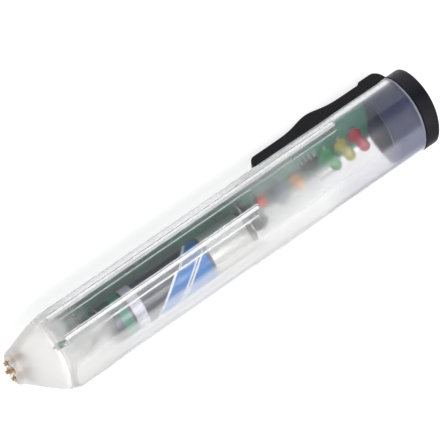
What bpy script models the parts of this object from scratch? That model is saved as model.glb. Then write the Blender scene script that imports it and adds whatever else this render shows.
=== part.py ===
"""Pocket component tester: a clear oval tube with a tapered probe nose and a black plug cap.

Metres, +Z up.  X runs along the tube, +X towards the probe tips.  The display side faces +Z and
the pocket clip lies underneath, so the origin is on the bench, below the middle of the tester.
"""

import math

import bmesh
import bpy
from mathutils import Matrix, Vector

MM = 0.001

# ---------------------------------------------------------------- driving dimensions
# Tube
TUBE_LENGTH = 119.6 * MM
TUBE_WIDTH = 23.8 * MM
TUBE_HEIGHT = 18.4 * MM
TUBE_WALL = 1.5 * MM
OVAL_POWER = 2.2
OVAL_SIDES = 48

# Nose, at the probe end of the tube
NOSE_LENGTH = 12.6 * MM
NOSE_TIP_HALF_WIDTH = 5.8 * MM
NOSE_TIP_HALF_HEIGHT = 3.8 * MM
NOSE_TIP_DROP = 3.2 * MM
NOSE_EDGE_RADIUS = 1.5 * MM
NOSE_SHOULDER_POWER = 1.35
NOSE_FLOOR = 8.9 * MM
NOSE_POCKET_DEPTH = 4.2 * MM

# End cap
CAP_RING_LENGTH = 4.7 * MM
CAP_CROWN = 0.9 * MM
CAP_EDGE_RADIUS = 1.3 * MM
CAP_END_WALL = 2.2 * MM
SKIRT_LENGTH = 8.8 * MM
SKIRT_WALL = 1.4 * MM
CAP_RIM_GAP = 0.2 * MM
SKIRT_CLEARANCE = 0.25 * MM

# Pocket clip, below the tube
CLIP_WIDTH = 7.0 * MM
CLIP_REACH = 39.0 * MM
CLIP_ROOT_OVERLAP = 2.7 * MM
CLIP_ROOT_HEIGHT = 4.1 * MM
CLIP_NECK_HEIGHT = 3.5 * MM
CLIP_HUMP_HEIGHT = 4.9 * MM
CLIP_HUMP_REACH = 20.0 * MM
CLIP_HUMP_HALF_LENGTH = 6.0 * MM
CLIP_GAP = 0.3 * MM

# Circuit board and the ribs that hold it
BOARD_THICKNESS = 1.2 * MM
BOARD_EDGE_GAP = 0.2 * MM
BOARD_FACE_DROP = 4.3 * MM
BOARD_RIB_THICKNESS = 1.0 * MM
CELL_RIB_THICKNESS = 1.0 * MM
RIB_ROOT = 0.7 * MM
BOARD_RIB_START = 18.7 * MM
BOARD_RIB_GRIP = 0.8 * MM
CELL_RIB_START = 48.1 * MM
CELL_RIB_LIFT = 3.4 * MM
CELL_RIB_GAP = 1.1 * MM
SEAT_GAP = 0.3 * MM

# Cell, AAA size
CELL_DIAMETER = 10.5 * MM
CELL_LENGTH = 44.5 * MM
CELL_START = 51.6 * MM
CELL_LIFT = 1.3 * MM
CELL_NUB_RADIUS = 1.9 * MM
CELL_NUB_LENGTH = 0.9 * MM

# Cell contacts
CONTACT_SHEET = 0.4 * MM
CONTACT_WIDTH = 8.0 * MM
CONTACT_HEIGHT = 9.0 * MM
CONTACT_FOOT = 2.4 * MM
SPRING_LENGTH = 5.2 * MM
SPRING_WIRE_RADIUS = 0.3 * MM
SPRING_SMALL_RADIUS = 2.2 * MM
SPRING_LARGE_RADIUS = 3.5 * MM
SPRING_TURNS = 4.5

# Indicator lamps
LED_DOME_RADIUS = 1.5 * MM
LED_FLANGE_RADIUS = 1.9 * MM
LED_FLANGE_HEIGHT = 1.0 * MM
LED_HEIGHT = 5.8 * MM
LED_STANDOFF = 0.8 * MM
LED_PITCH = 4.5 * MM
LED_FIRST_REACH = 14.0 * MM

# Leads of the parts on the board
LEAD_RADIUS = 0.25 * MM
LEAD_PITCH = 2.54 * MM
LEAD_HOLE_RADIUS = 0.45 * MM
LEAD_STUB = 0.8 * MM
SOLDER_RADIUS = 0.85 * MM
SOLDER_GAP = 0.1 * MM

# Resistors and diodes, along the board's far edge beside the cell
AXIAL_RADIUS = 0.85 * MM
AXIAL_BODY_HALF = 1.7 * MM
AXIAL_LEAD_HALF = 3.4 * MM
AXIAL_INSET = 1.9 * MM
TRANSISTOR_INSET = 5.0 * MM

# Sprung probes
PROBE_PITCH_Y = 3.8 * MM
PROBE_PITCH_Z = 2.6 * MM
PROBE_BARREL_RADIUS = 0.9 * MM
PROBE_BARREL_WALL = 0.3 * MM
PROBE_BARREL_LENGTH = 12.2 * MM
PROBE_CLEARANCE = 0.1 * MM
PROBE_STAND_OUT = 0.9 * MM
PROBE_TRAVEL = 0.6 * MM
PLUNGER_LENGTH = 6.5 * MM
PROBE_WIRE_RADIUS = 0.3 * MM
PROBE_WIRE_SPREAD = 1.4 * MM
PROBE_WIRE_BEND = 0.5 * MM
PROBE_WIRE_FOOT = 1.8 * MM
PROBE_WIRE_ROOM = 1.7 * MM


def oval_half_width(half_y, half_z, height):
    """Half the oval's width at a height above its centre."""
    return half_y * (1 - abs(height / half_z) ** OVAL_POWER) ** (1 / OVAL_POWER)


# ---------------------------------------------------------------- derived places
RIM_X = (CAP_RING_LENGTH + CAP_CROWN - TUBE_LENGTH - PROBE_STAND_OUT) / 2
AXIS_Z = TUBE_HEIGHT / 2 + CLIP_HUMP_HEIGHT
HALF_WIDTH = TUBE_WIDTH / 2
HALF_HEIGHT = TUBE_HEIGHT / 2
BORE_HALF_WIDTH = HALF_WIDTH - TUBE_WALL
BORE_HALF_HEIGHT = HALF_HEIGHT - TUBE_WALL
BORE_END = TUBE_LENGTH - NOSE_FLOOR
BOARD_FACE_Z = AXIS_Z - BOARD_FACE_DROP
BOARD_BACK_Z = BOARD_FACE_Z - BOARD_THICKNESS
BOARD_FIT = oval_half_width(BORE_HALF_WIDTH, BORE_HALF_HEIGHT, BOARD_FACE_DROP + BOARD_THICKNESS)
BOARD_WIDTH = 2 * (BOARD_FIT - BOARD_EDGE_GAP)
BOARD_START = SKIRT_LENGTH + SEAT_GAP
PROBE_CENTRE_Z = AXIS_Z - NOSE_TIP_DROP
PROBE_TAIL = TUBE_LENGTH - PROBE_BARREL_LENGTH
BOARD_END = PROBE_TAIL - PROBE_WIRE_ROOM
CELL_AXIS_Z = AXIS_Z + CELL_LIFT
AXIAL_Y = BOARD_WIDTH / 2 - AXIAL_INSET
TRANSISTOR_Y = BOARD_WIDTH / 2 - TRANSISTOR_INSET

PALETTE = {
    "clear_plastic": ((0.86, 0.89, 0.90, 1.0), 0.18, 0.0),
    "black_plastic": ((0.012, 0.012, 0.016, 1.0), 0.42, 0.0),
    "board_green": ((0.02, 0.16, 0.09, 1.0), 0.45, 0.0),
    "cell_label": ((0.05, 0.20, 0.55, 1.0), 0.30, 0.2),
    "spring_steel": ((0.62, 0.62, 0.60, 1.0), 0.28, 1.0),
    "nickel_sheet": ((0.70, 0.69, 0.66, 1.0), 0.25, 1.0),
    "green_lens": ((0.03, 0.55, 0.12, 1.0), 0.15, 0.0),
    "yellow_lens": ((0.85, 0.70, 0.05, 1.0), 0.15, 0.0),
    "red_lens": ((0.75, 0.02, 0.04, 1.0), 0.15, 0.0),
    "tinned_wire": ((0.72, 0.72, 0.70, 1.0), 0.30, 1.0),
    "orange_epoxy": ((0.85, 0.38, 0.05, 1.0), 0.40, 0.0),
    "red_epoxy": ((0.70, 0.09, 0.04, 1.0), 0.35, 0.0),
    "blue_epoxy": ((0.16, 0.24, 0.36, 1.0), 0.40, 0.0),
    "chip_black": ((0.02, 0.02, 0.02, 1.0), 0.50, 0.0),
    "resistor_beige": ((0.68, 0.55, 0.36, 1.0), 0.45, 0.0),
    "diode_glass": ((0.55, 0.22, 0.08, 1.0), 0.12, 0.0),
    "gold_plate": ((0.83, 0.60, 0.24, 1.0), 0.25, 1.0),
    "brass_barrel": ((0.72, 0.52, 0.22, 1.0), 0.32, 1.0),
}


def at(reach):
    """World X of a place measured from the tube's rim towards the probes."""
    return RIM_X + reach


# ---------------------------------------------------------------- shape helpers
def oval_ring(x, half_y, half_z, centre_z):
    """Points of one oval cross-section of the tube."""
    ring = []
    for step in range(OVAL_SIDES):
        angle = 2 * math.pi * step / OVAL_SIDES
        cos_a = math.cos(angle)
        sin_a = math.sin(angle)
        y = half_y * math.copysign(abs(cos_a) ** (2 / OVAL_POWER), cos_a)
        z = half_z * math.copysign(abs(sin_a) ** (2 / OVAL_POWER), sin_a)
        ring.append(Vector((x, y, centre_z + z)))
    return ring


def round_ring(centre, axis, radius, sides):
    """Points of a circle about a centre, square to the X or the Z axis."""
    ring = []
    for step in range(sides):
        angle = 2 * math.pi * (step + 0.5) / sides
        across = radius * math.cos(angle)
        along = radius * math.sin(angle)
        if axis == "X":
            ring.append(centre + Vector((0, across, along)))
        else:
            ring.append(centre + Vector((across, along, 0)))
    return ring


def skin(bm, rings, cap_first=True, cap_last=True):
    """Joins rings of equal count into a tube of faces and returns the vertices, ring by ring."""
    grid = [[bm.verts.new(point) for point in ring] for ring in rings]
    for first, second in zip(grid, grid[1:]):
        for index in range(len(first)):
            after = (index + 1) % len(first)
            bm.faces.new((first[index], first[after], second[after], second[index]))
    if cap_first:
        bm.faces.new(grid[0])
    if cap_last:
        bm.faces.new(grid[-1])
    return grid


def add_turned(bm, origin, axis, profile, sides=16):
    """A solid turned about an axis: the profile lists (place along the axis, radius)."""
    unit = Vector((1, 0, 0)) if axis == "X" else Vector((0, 0, 1))
    skin(bm, [round_ring(origin + unit * along, axis, radius, sides) for along, radius in profile])


def add_cup(bm, outer, inner):
    """A hollow solid that is open at its first rings and closed at its last ones."""
    shell = skin(bm, outer, cap_first=False)
    hollow = skin(bm, inner, cap_first=False)
    for index in range(len(shell[0])):
        after = (index + 1) % len(shell[0])
        bm.faces.new((shell[0][index], shell[0][after], hollow[0][after], hollow[0][index]))


def add_box(bm, low, high, bevel=0.0):
    """A box between two corners, with its edges rounded by a small bevel."""
    middle = (Vector(low) + Vector(high)) / 2
    size = Vector(high) - Vector(low)
    matrix = Matrix.Translation(middle) @ Matrix.Diagonal((size.x, size.y, size.z, 1.0))
    made = bmesh.ops.create_cube(bm, size=1.0, matrix=matrix)
    if bevel:
        edges = list({edge for vert in made["verts"] for edge in vert.link_edges})
        bmesh.ops.bevel(bm, geom=edges, offset=bevel, segments=2, affect="EDGES", profile=0.5)


def add_plate(bm, outline, axis, low, high):
    """A flat plate: an outline in the two other axes, extruded along X or Y from low to high."""
    def corner(pair, along):
        if axis == "X":
            return Vector((along, pair[0], pair[1]))
        return Vector((pair[0], along, pair[1]))
    skin(bm, [[corner(pair, low) for pair in outline], [corner(pair, high) for pair in outline]])


def arc(centre, radius, start_deg, end_deg, steps):
    """Points along an arc, as pairs."""
    points = []
    for step in range(steps + 1):
        angle = math.radians(start_deg + (end_deg - start_deg) * step / steps)
        points.append((centre[0] + radius * math.cos(angle), centre[1] + radius * math.sin(angle)))
    return points


# ---------------------------------------------------------------- object helpers
def clear_scene():
    """Removes whatever the scene holds."""
    for item in list(bpy.data.objects):
        bpy.data.objects.remove(item, do_unlink=True)


def material(name):
    """The named material, made once."""
    found = bpy.data.materials.get(name)
    if found:
        return found
    colour, roughness, metallic = PALETTE[name]
    made = bpy.data.materials.new(name)
    made.use_nodes = True
    shader = made.node_tree.nodes["Principled BSDF"]
    shader.inputs["Base Color"].default_value = colour
    shader.inputs["Roughness"].default_value = roughness
    shader.inputs["Metallic"].default_value = metallic
    made.diffuse_color = colour
    return made


def joint_empty(name, place):
    """An empty on a joint's axis, which carries the pieces that move about it."""
    empty = bpy.data.objects.new(name, None)
    empty.location = place
    empty.empty_display_size = 4 * MM
    bpy.context.collection.objects.link(empty)
    return empty


def finish(bm, name, finish_name, parent=None, smooth_deg=35):
    """Turns a bmesh in world coordinates into a named object, under its joint's empty if it moves."""
    bmesh.ops.recalc_face_normals(bm, faces=bm.faces)
    mesh = bpy.data.meshes.new(name)
    bm.to_mesh(mesh)
    bm.free()
    mesh.shade_smooth()
    mesh.set_sharp_from_angle(angle=math.radians(smooth_deg))
    piece = bpy.data.objects.new(name, mesh)
    piece.data.materials.append(material(finish_name))
    bpy.context.collection.objects.link(piece)
    if parent:
        mesh.transform(Matrix.Translation(-parent.location))
        piece.parent = parent
    return piece


def add_boolean(piece, tool, operation):
    """Cuts or joins another mesh, which is left out of the model itself."""
    tool.hide_render = True
    tool.display_type = "WIRE"
    change = piece.modifiers.new(tool.name, "BOOLEAN")
    change.operation = operation
    change.object = tool
    change.solver = "EXACT"


# ---------------------------------------------------------------- tube
def nose_section(share, inset=0.0):
    """Half width, half height and centre height of the nose, from its start (0) to its tip (1)."""
    ease = 0.85 * share ** NOSE_SHOULDER_POWER + 0.15 * share * share * (3 - 2 * share)
    half_y = HALF_WIDTH + (NOSE_TIP_HALF_WIDTH - HALF_WIDTH) * ease
    half_z = HALF_HEIGHT + (NOSE_TIP_HALF_HEIGHT - HALF_HEIGHT) * ease
    return half_y - inset, half_z - inset, AXIS_Z - NOSE_TIP_DROP * ease


def tube_outer_rings():
    """Outer cross-sections of the tube, from its rim to its rounded nose."""
    rings = [oval_ring(at(0), HALF_WIDTH, HALF_HEIGHT, AXIS_Z)]
    nose_start = TUBE_LENGTH - NOSE_LENGTH
    taper_length = NOSE_LENGTH - NOSE_EDGE_RADIUS
    taper_steps = 7
    for step in range(taper_steps + 1):
        share = step / taper_steps
        rings.append(oval_ring(at(nose_start + taper_length * share), *nose_section(share)))
    edge_steps = 3
    for step in range(1, edge_steps + 1):
        angle = math.pi / 2 * step / edge_steps
        reach = nose_start + taper_length + NOSE_EDGE_RADIUS * math.sin(angle)
        rings.append(oval_ring(at(reach), *nose_section(1, NOSE_EDGE_RADIUS * (1 - math.cos(angle)))))
    return rings


def tube_inner_rings():
    """Inner cross-sections: the long bore, a step, and a smaller pocket inside the nose."""
    pocket_end = BORE_END + NOSE_POCKET_DEPTH
    nose_start = TUBE_LENGTH - NOSE_LENGTH
    rings = [oval_ring(at(0), BORE_HALF_WIDTH, BORE_HALF_HEIGHT, AXIS_Z)]
    rings.append(oval_ring(at(nose_start), BORE_HALF_WIDTH, BORE_HALF_HEIGHT, AXIS_Z))
    for reach, wall in ((BORE_END, 1.2 * TUBE_WALL), (BORE_END, 2.2 * TUBE_WALL), (pocket_end, 2 * TUBE_WALL)):
        share = (reach - nose_start) / (NOSE_LENGTH - NOSE_EDGE_RADIUS)
        rings.append(oval_ring(at(reach), *nose_section(share, wall)))
    return rings


def rib_outline(start, end, low_z, thickness):
    """Side view of a rib: straight, with a round end towards the rim."""
    radius = thickness / 2
    middle = low_z + radius
    return arc((at(start) + radius, middle), radius, 90, 270, 6) + [(at(end), low_z), (at(end), low_z + thickness)]


def make_ribs(name, start, low_z, thickness, inner_y):
    """A pair of ribs that stand on the tube's side walls, rooted part way into them."""
    lift = max(abs(low_z - AXIS_Z), abs(low_z + thickness - AXIS_Z))
    outer_y = oval_half_width(BORE_HALF_WIDTH, BORE_HALF_HEIGHT, lift) + RIB_ROOT
    nose_start = TUBE_LENGTH - NOSE_LENGTH
    bm = bmesh.new()
    for side in (-1, 1):
        outline = rib_outline(start, nose_start, low_z, thickness)
        add_plate(bm, outline, "Y", side * inner_y, side * outer_y)
    return finish(bm, name, "clear_plastic")


def probe_places():
    """Y and Z of the four probes, in a two by two pattern in the nose."""
    return [
        (side * PROBE_PITCH_Y / 2, PROBE_CENTRE_Z + row * PROBE_PITCH_Z / 2)
        for row in (-1, 1)
        for side in (-1, 1)
    ]


def make_tube():
    """The clear tube with its nose, its board ribs, its cell ribs and four probe holes."""
    bm = bmesh.new()
    add_cup(bm, tube_outer_rings(), tube_inner_rings())
    tube = finish(bm, "tube_shell", "clear_plastic")
    board_rib_low = BOARD_FACE_Z + SEAT_GAP
    board_rib_inner = BOARD_WIDTH / 2 - BOARD_RIB_GRIP
    board_rib = (BOARD_RIB_START, board_rib_low, BOARD_RIB_THICKNESS, board_rib_inner)
    add_boolean(tube, make_ribs("board_rib_tool", *board_rib), "UNION")
    cell_rib_low = AXIS_Z + CELL_RIB_LIFT - CELL_RIB_THICKNESS / 2
    nearest = min(abs(cell_rib_low - CELL_AXIS_Z), abs(cell_rib_low + CELL_RIB_THICKNESS - CELL_AXIS_Z))
    cell_rib_inner = math.sqrt((CELL_DIAMETER / 2) ** 2 - nearest ** 2) + CELL_RIB_GAP
    cell_rib = (CELL_RIB_START, cell_rib_low, CELL_RIB_THICKNESS, cell_rib_inner)
    add_boolean(tube, make_ribs("cell_rib_tool", *cell_rib), "UNION")
    holes = bmesh.new()
    hole_radius = PROBE_BARREL_RADIUS + PROBE_CLEARANCE
    for y, z in probe_places():
        profile = [(at(BORE_END), hole_radius), (at(TUBE_LENGTH) + 2 * MM, hole_radius)]
        add_turned(holes, Vector((0, y, z)), "X", profile, sides=12)
    add_boolean(tube, finish(holes, "probe_hole_tool", "clear_plastic"), "DIFFERENCE")


# ---------------------------------------------------------------- cap and clip
def make_cap(empty):
    """The black plug cap: a crowned ring flush with the tube and a hollow skirt inside it."""
    skirt_y = BORE_HALF_WIDTH - SKIRT_CLEARANCE
    skirt_z = BORE_HALF_HEIGHT - SKIRT_CLEARANCE
    ring_y = HALF_WIDTH
    ring_z = HALF_HEIGHT
    outer = [
        oval_ring(at(SKIRT_LENGTH), skirt_y, skirt_z, AXIS_Z),
        oval_ring(at(-CAP_RIM_GAP), skirt_y, skirt_z, AXIS_Z),
        oval_ring(at(-CAP_RIM_GAP), ring_y, ring_z, AXIS_Z),
    ]
    edge_steps = 4
    edge_start = CAP_RING_LENGTH - CAP_EDGE_RADIUS + CAP_CROWN / 2
    for step in range(edge_steps + 1):
        angle = math.pi / 2 * step / edge_steps
        reach = edge_start + (CAP_EDGE_RADIUS - CAP_CROWN / 2) * math.sin(angle)
        inset = CAP_EDGE_RADIUS * (1 - math.cos(angle))
        outer.append(oval_ring(at(-reach), ring_y - inset, ring_z - inset, AXIS_Z))
    crown_steps = 3
    for step in range(1, crown_steps + 1):
        share = step / crown_steps
        reach = CAP_RING_LENGTH + CAP_CROWN * (1 - (1 - share) ** 2)
        width_share = 1 - 0.55 * share
        crown_y = (ring_y - CAP_EDGE_RADIUS) * width_share
        crown_z = (ring_z - CAP_EDGE_RADIUS) * width_share
        outer.append(oval_ring(at(-reach), crown_y, crown_z, AXIS_Z))
    floor = CAP_RING_LENGTH - CAP_END_WALL
    inner = [
        oval_ring(at(SKIRT_LENGTH), skirt_y - SKIRT_WALL, skirt_z - SKIRT_WALL, AXIS_Z),
        oval_ring(at(-floor), skirt_y - SKIRT_WALL, skirt_z - SKIRT_WALL, AXIS_Z),
    ]
    bm = bmesh.new()
    add_cup(bm, outer, inner)
    finish(bm, "end_cap", "black_plastic", empty)


def clip_outer_drop(reach):
    """How far the clip's outer face stands below the tube, at a place along it."""
    if reach < 0:
        share = min(1.0, (reach + CLIP_ROOT_OVERLAP) / CLIP_ROOT_OVERLAP)
        return CLIP_GAP + (CLIP_ROOT_HEIGHT - CLIP_GAP) * math.sqrt(share * (2 - share))
    hump = math.exp(-(((reach - CLIP_HUMP_REACH) / CLIP_HUMP_HALF_LENGTH) ** 2) * 1.6)
    return CLIP_NECK_HEIGHT + (CLIP_HUMP_HEIGHT - CLIP_NECK_HEIGHT) * hump


def clip_outline():
    """Side view of the clip: root step, neck, solid hump and rounded free end."""
    base = AXIS_Z - HALF_HEIGHT
    root_end = 3.7 * MM
    outer = []
    for step in range(6):
        reach = -CLIP_ROOT_OVERLAP + CLIP_ROOT_OVERLAP * step / 5
        outer.append((at(reach), base - clip_outer_drop(min(reach, -1e-9))))
    outer.append((at(root_end), base - CLIP_ROOT_HEIGHT))
    outer.append((at(root_end + 0.4 * MM), base - CLIP_NECK_HEIGHT))
    hump_from = CLIP_HUMP_REACH - 1.8 * CLIP_HUMP_HALF_LENGTH
    hump_to = CLIP_HUMP_REACH + 1.8 * CLIP_HUMP_HALF_LENGTH
    hump_steps = 16
    for step in range(hump_steps + 1):
        reach = hump_from + (hump_to - hump_from) * step / hump_steps
        outer.append((at(reach), base - clip_outer_drop(reach)))
    tip_radius = (CLIP_NECK_HEIGHT - CLIP_GAP) / 2
    tip_centre = (at(CLIP_REACH) - tip_radius, base - CLIP_GAP - tip_radius)
    tip = arc(tip_centre, tip_radius, -90, 90, 6)
    return outer + tip


def make_clip(empty):
    """The sprung pocket clip under the tube, as wide all along, with softened edges."""
    bm = bmesh.new()
    add_plate(bm, clip_outline(), "Y", -CLIP_WIDTH / 2, CLIP_WIDTH / 2)
    finish(bm, "pocket_clip", "black_plastic", empty)


# ---------------------------------------------------------------- board and its parts
class Board:
    """Collects the lead positions, so that the board gets a hole for every lead."""

    def __init__(self):
        self.holes = []

    def add_lead(self, bm, reach, y, top_z):
        """One lead from inside a part down through the board, with its solder cone on the back."""
        self.holes.append((reach, y))
        solder_top = BOARD_BACK_Z - SOLDER_GAP
        profile = [
            (top_z, LEAD_RADIUS),
            (solder_top, LEAD_RADIUS),
            (solder_top, SOLDER_RADIUS),
            (solder_top - 0.5 * LEAD_STUB, 1.5 * LEAD_RADIUS),
            (solder_top - LEAD_STUB, LEAD_RADIUS),
        ]
        add_turned(bm, Vector((at(reach), y, 0)), "Z", profile, sides=8)

    def solder(self, part, places, top_z):
        """Gives a part its leads, each rooted inside the part's body."""
        leads = bmesh.new()
        for reach, y in places:
            self.add_lead(leads, reach, y, top_z)
        add_boolean(part, finish(leads, part.name + "_lead_tool", "tinned_wire"), "UNION")

    def make(self):
        """The board itself, drilled for the leads."""
        bm = bmesh.new()
        half = BOARD_WIDTH / 2
        add_box(bm, (at(BOARD_START), -half, BOARD_BACK_Z), (at(BOARD_END), half, BOARD_FACE_Z))
        board = finish(bm, "circuit_board", "board_green")
        drills = bmesh.new()
        for reach, y in self.holes:
            profile = [(BOARD_BACK_Z - MM, LEAD_HOLE_RADIUS), (BOARD_FACE_Z + MM, LEAD_HOLE_RADIUS)]
            add_turned(drills, Vector((at(reach), y, 0)), "Z", profile, sides=8)
        add_boolean(board, finish(drills, "lead_drill_tool", "board_green"), "DIFFERENCE")


def lead_pair(reach, y=0.0):
    """Places of two leads side by side across the board."""
    return [(reach, y - LEAD_PITCH / 2), (reach, y + LEAD_PITCH / 2)]


def make_lamp(board, name, finish_name, reach):
    """One 3 mm indicator lamp: a flange, a straight body and a dome, on two leads."""
    base = BOARD_FACE_Z + LED_STANDOFF
    straight_top = LED_HEIGHT - LED_DOME_RADIUS
    profile = [
        (base, LED_FLANGE_RADIUS),
        (base + LED_FLANGE_HEIGHT, LED_FLANGE_RADIUS),
        (base + LED_FLANGE_HEIGHT, LED_DOME_RADIUS),
    ]
    dome_steps = 5
    for step in range(dome_steps):
        angle = math.pi / 2 * step / dome_steps
        height = base + straight_top + LED_DOME_RADIUS * math.sin(angle)
        profile.append((height, LED_DOME_RADIUS * math.cos(angle)))
    profile.append((base + LED_HEIGHT, 0.12 * LED_DOME_RADIUS))
    bm = bmesh.new()
    add_turned(bm, Vector((at(reach), 0, 0)), "Z", profile, sides=20)
    lamp = finish(bm, name, finish_name)
    board.solder(lamp, lead_pair(reach), base + LED_FLANGE_HEIGHT / 2)


def make_lamps(board):
    """Red, yellow and green lamps in a row, the red one next to the cap."""
    lamps = (("led_red", "red_lens"), ("led_yellow", "yellow_lens"), ("led_green", "green_lens"))
    for place, (name, finish_name) in enumerate(lamps):
        make_lamp(board, name, finish_name, LED_FIRST_REACH + place * LED_PITCH)


def make_dipped_part(board, name, finish_name, reach, size):
    """A dipped capacitor, egg-shaped, that stands on two leads across the board."""
    half_x, half_y, half_z = size
    centre = Vector((at(reach), 0, BOARD_FACE_Z + SEAT_GAP + half_z))
    bm = bmesh.new()
    made = bmesh.ops.create_uvsphere(bm, u_segments=16, v_segments=10, radius=1.0)
    bmesh.ops.scale(bm, vec=(half_x, half_y, half_z), verts=made["verts"])
    bmesh.ops.translate(bm, vec=centre, verts=made["verts"])
    board.solder(finish(bm, name, finish_name), lead_pair(reach), centre.z)


def make_box_part(board, name, finish_name, reach, size):
    """A moulded box capacitor on two leads."""
    length, width, height = size
    base = BOARD_FACE_Z + SEAT_GAP
    low = (at(reach) - length / 2, -width / 2, base)
    high = (at(reach) + length / 2, width / 2, base + height)
    bm = bmesh.new()
    add_box(bm, low, high, bevel=0.3 * MM)
    board.solder(finish(bm, name, finish_name), lead_pair(reach), base + height / 2)


def make_transistor(board, reach, y):
    """A small three-legged transistor with a flat front."""
    radius = 2.3 * MM
    base = BOARD_FACE_Z + 1.2 * MM
    height = 4.4 * MM
    outline = arc((at(reach), y), radius, 35, 325, 12)
    bm = bmesh.new()
    skin(bm, [[Vector((px, py, z)) for px, py in outline] for z in (base, base + height)])
    legs = [(reach, y + place * LEAD_PITCH / 2) for place in (-1, 0, 1)]
    board.solder(finish(bm, "transistor", "chip_black"), legs, base + height / 2)


def make_chip(reach):
    """The controller chip: a moulded body with four gull-wing pins on either side."""
    length, width, height = 4.9 * MM, 3.9 * MM, 1.5 * MM
    base = BOARD_FACE_Z + SEAT_GAP
    bm = bmesh.new()
    low = (at(reach) - length / 2, -width / 2, base)
    high = (at(reach) + length / 2, width / 2, base + height)
    add_box(bm, low, high, bevel=0.2 * MM)
    chip = finish(bm, "controller_chip", "chip_black")
    sheet = 0.2 * MM
    foot_z = BOARD_FACE_Z + SOLDER_GAP
    knee_z = base + height / 2
    root = width / 2 - 0.4 * MM
    knee = width / 2 + 0.5 * MM
    toe = knee + 0.6 * MM
    outline = [
        (root, knee_z),
        (knee, knee_z),
        (knee, foot_z + sheet),
        (toe, foot_z + sheet),
        (toe, foot_z),
        (knee - sheet, foot_z),
        (knee - sheet, knee_z - sheet),
        (root, knee_z - sheet),
    ]
    pins = bmesh.new()
    for place in range(4):
        x = at(reach) + (place - 1.5) * LEAD_PITCH / 2
        for side in (-1, 1):
            mirrored = [(side * y, z) for y, z in outline]
            add_plate(pins, mirrored, "X", x - sheet, x + sheet)
    add_boolean(chip, finish(pins, "chip_pin_tool", "tinned_wire"), "UNION")


def make_axial_part(board, name, finish_name, reach):
    """A resistor or a diode that lies along the board's far edge, its leads bent down at both ends."""
    height = BOARD_FACE_Z + SEAT_GAP + AXIAL_RADIUS
    waist = 0.88 * AXIAL_RADIUS
    bm = bmesh.new()
    middle = at(reach)
    profile = [
        (middle - AXIAL_LEAD_HALF, LEAD_RADIUS),
        (middle - AXIAL_BODY_HALF, LEAD_RADIUS),
        (middle - AXIAL_BODY_HALF, 0.7 * AXIAL_RADIUS),
        (middle - 0.8 * AXIAL_BODY_HALF, AXIAL_RADIUS),
        (middle - 0.5 * AXIAL_BODY_HALF, waist),
    ]
    profile += [(2 * middle - along, radius) for along, radius in reversed(profile)]
    add_turned(bm, Vector((0, AXIAL_Y, height)), "X", profile, sides=12)
    ends = [(reach + end * (AXIAL_LEAD_HALF - LEAD_RADIUS), AXIAL_Y) for end in (-1, 1)]
    board.solder(finish(bm, name, finish_name), ends, height + LEAD_RADIUS / 2)


def make_board_parts():
    """The board with everything soldered to it."""
    board = Board()
    make_lamps(board)
    orange_size = (1.5 * MM, 2.1 * MM, 2.4 * MM)
    make_dipped_part(board, "orange_capacitor", "orange_epoxy", 33.5 * MM, orange_size)
    red_size = (1.7 * MM, 1.8 * MM, 1.5 * MM)
    make_dipped_part(board, "red_capacitor", "red_epoxy", 43.7 * MM, red_size)
    make_box_part(board, "box_capacitor", "blue_epoxy", 38.6 * MM, (2.6 * MM, 6.4 * MM, 4.0 * MM))
    make_transistor(board, 47.2 * MM, TRANSISTOR_Y)
    make_chip(28.2 * MM)
    for number, reach_mm in enumerate((56.0, 64.6, 81.8), start=1):
        make_axial_part(board, "resistor_%d" % number, "resistor_beige", reach_mm * MM)
    for number, reach_mm in enumerate((73.2, 90.4), start=1):
        make_axial_part(board, "diode_%d" % number, "diode_glass", reach_mm * MM)
    board.make()


# ---------------------------------------------------------------- cell and contacts
def make_cell():
    """The AAA cell, its raised end towards the cap."""
    radius = CELL_DIAMETER / 2
    body_start = CELL_START + CELL_NUB_LENGTH
    end = CELL_START + CELL_LENGTH
    profile = [
        (at(CELL_START), CELL_NUB_RADIUS - 0.2 * MM),
        (at(CELL_START + 0.2 * MM), CELL_NUB_RADIUS),
        (at(body_start), CELL_NUB_RADIUS),
        (at(body_start), radius - 0.7 * MM),
        (at(body_start + 0.5 * MM), radius),
        (at(end - 0.5 * MM), radius),
        (at(end), radius - 0.7 * MM),
    ]
    bm = bmesh.new()
    add_turned(bm, Vector((0, 0, CELL_AXIS_Z)), "X", profile, sides=32)
    finish(bm, "battery_cell", "cell_label")


def make_contact(name, face_reach, away, foot_side):
    """A bent sheet contact: an upright leaf, thick away from the cell, with a foot on the board."""
    foot_low = BOARD_FACE_Z + SEAT_GAP
    leaf_top = foot_low + CONTACT_HEIGHT
    corner = 2.0 * MM
    half = CONTACT_WIDTH / 2
    near = at(face_reach)
    far = near + away * CONTACT_SHEET
    bm = bmesh.new()
    outline = [(-half, foot_low), (half, foot_low)]
    outline += arc((half - corner, leaf_top - corner), corner, 0, 90, 4)
    outline += arc((-half + corner, leaf_top - corner), corner, 90, 180, 4)
    add_plate(bm, outline, "X", near, far)
    leaf = finish(bm, name, "nickel_sheet")
    foot = bmesh.new()
    foot_start = (near + far) / 2
    foot_end = foot_start + foot_side * CONTACT_FOOT
    low = (min(foot_start, foot_end), -half, foot_low)
    high = (max(foot_start, foot_end), half, foot_low + CONTACT_SHEET)
    add_box(foot, low, high)
    add_boolean(leaf, finish(foot, name + "_foot_tool", "nickel_sheet"), "UNION")


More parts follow.
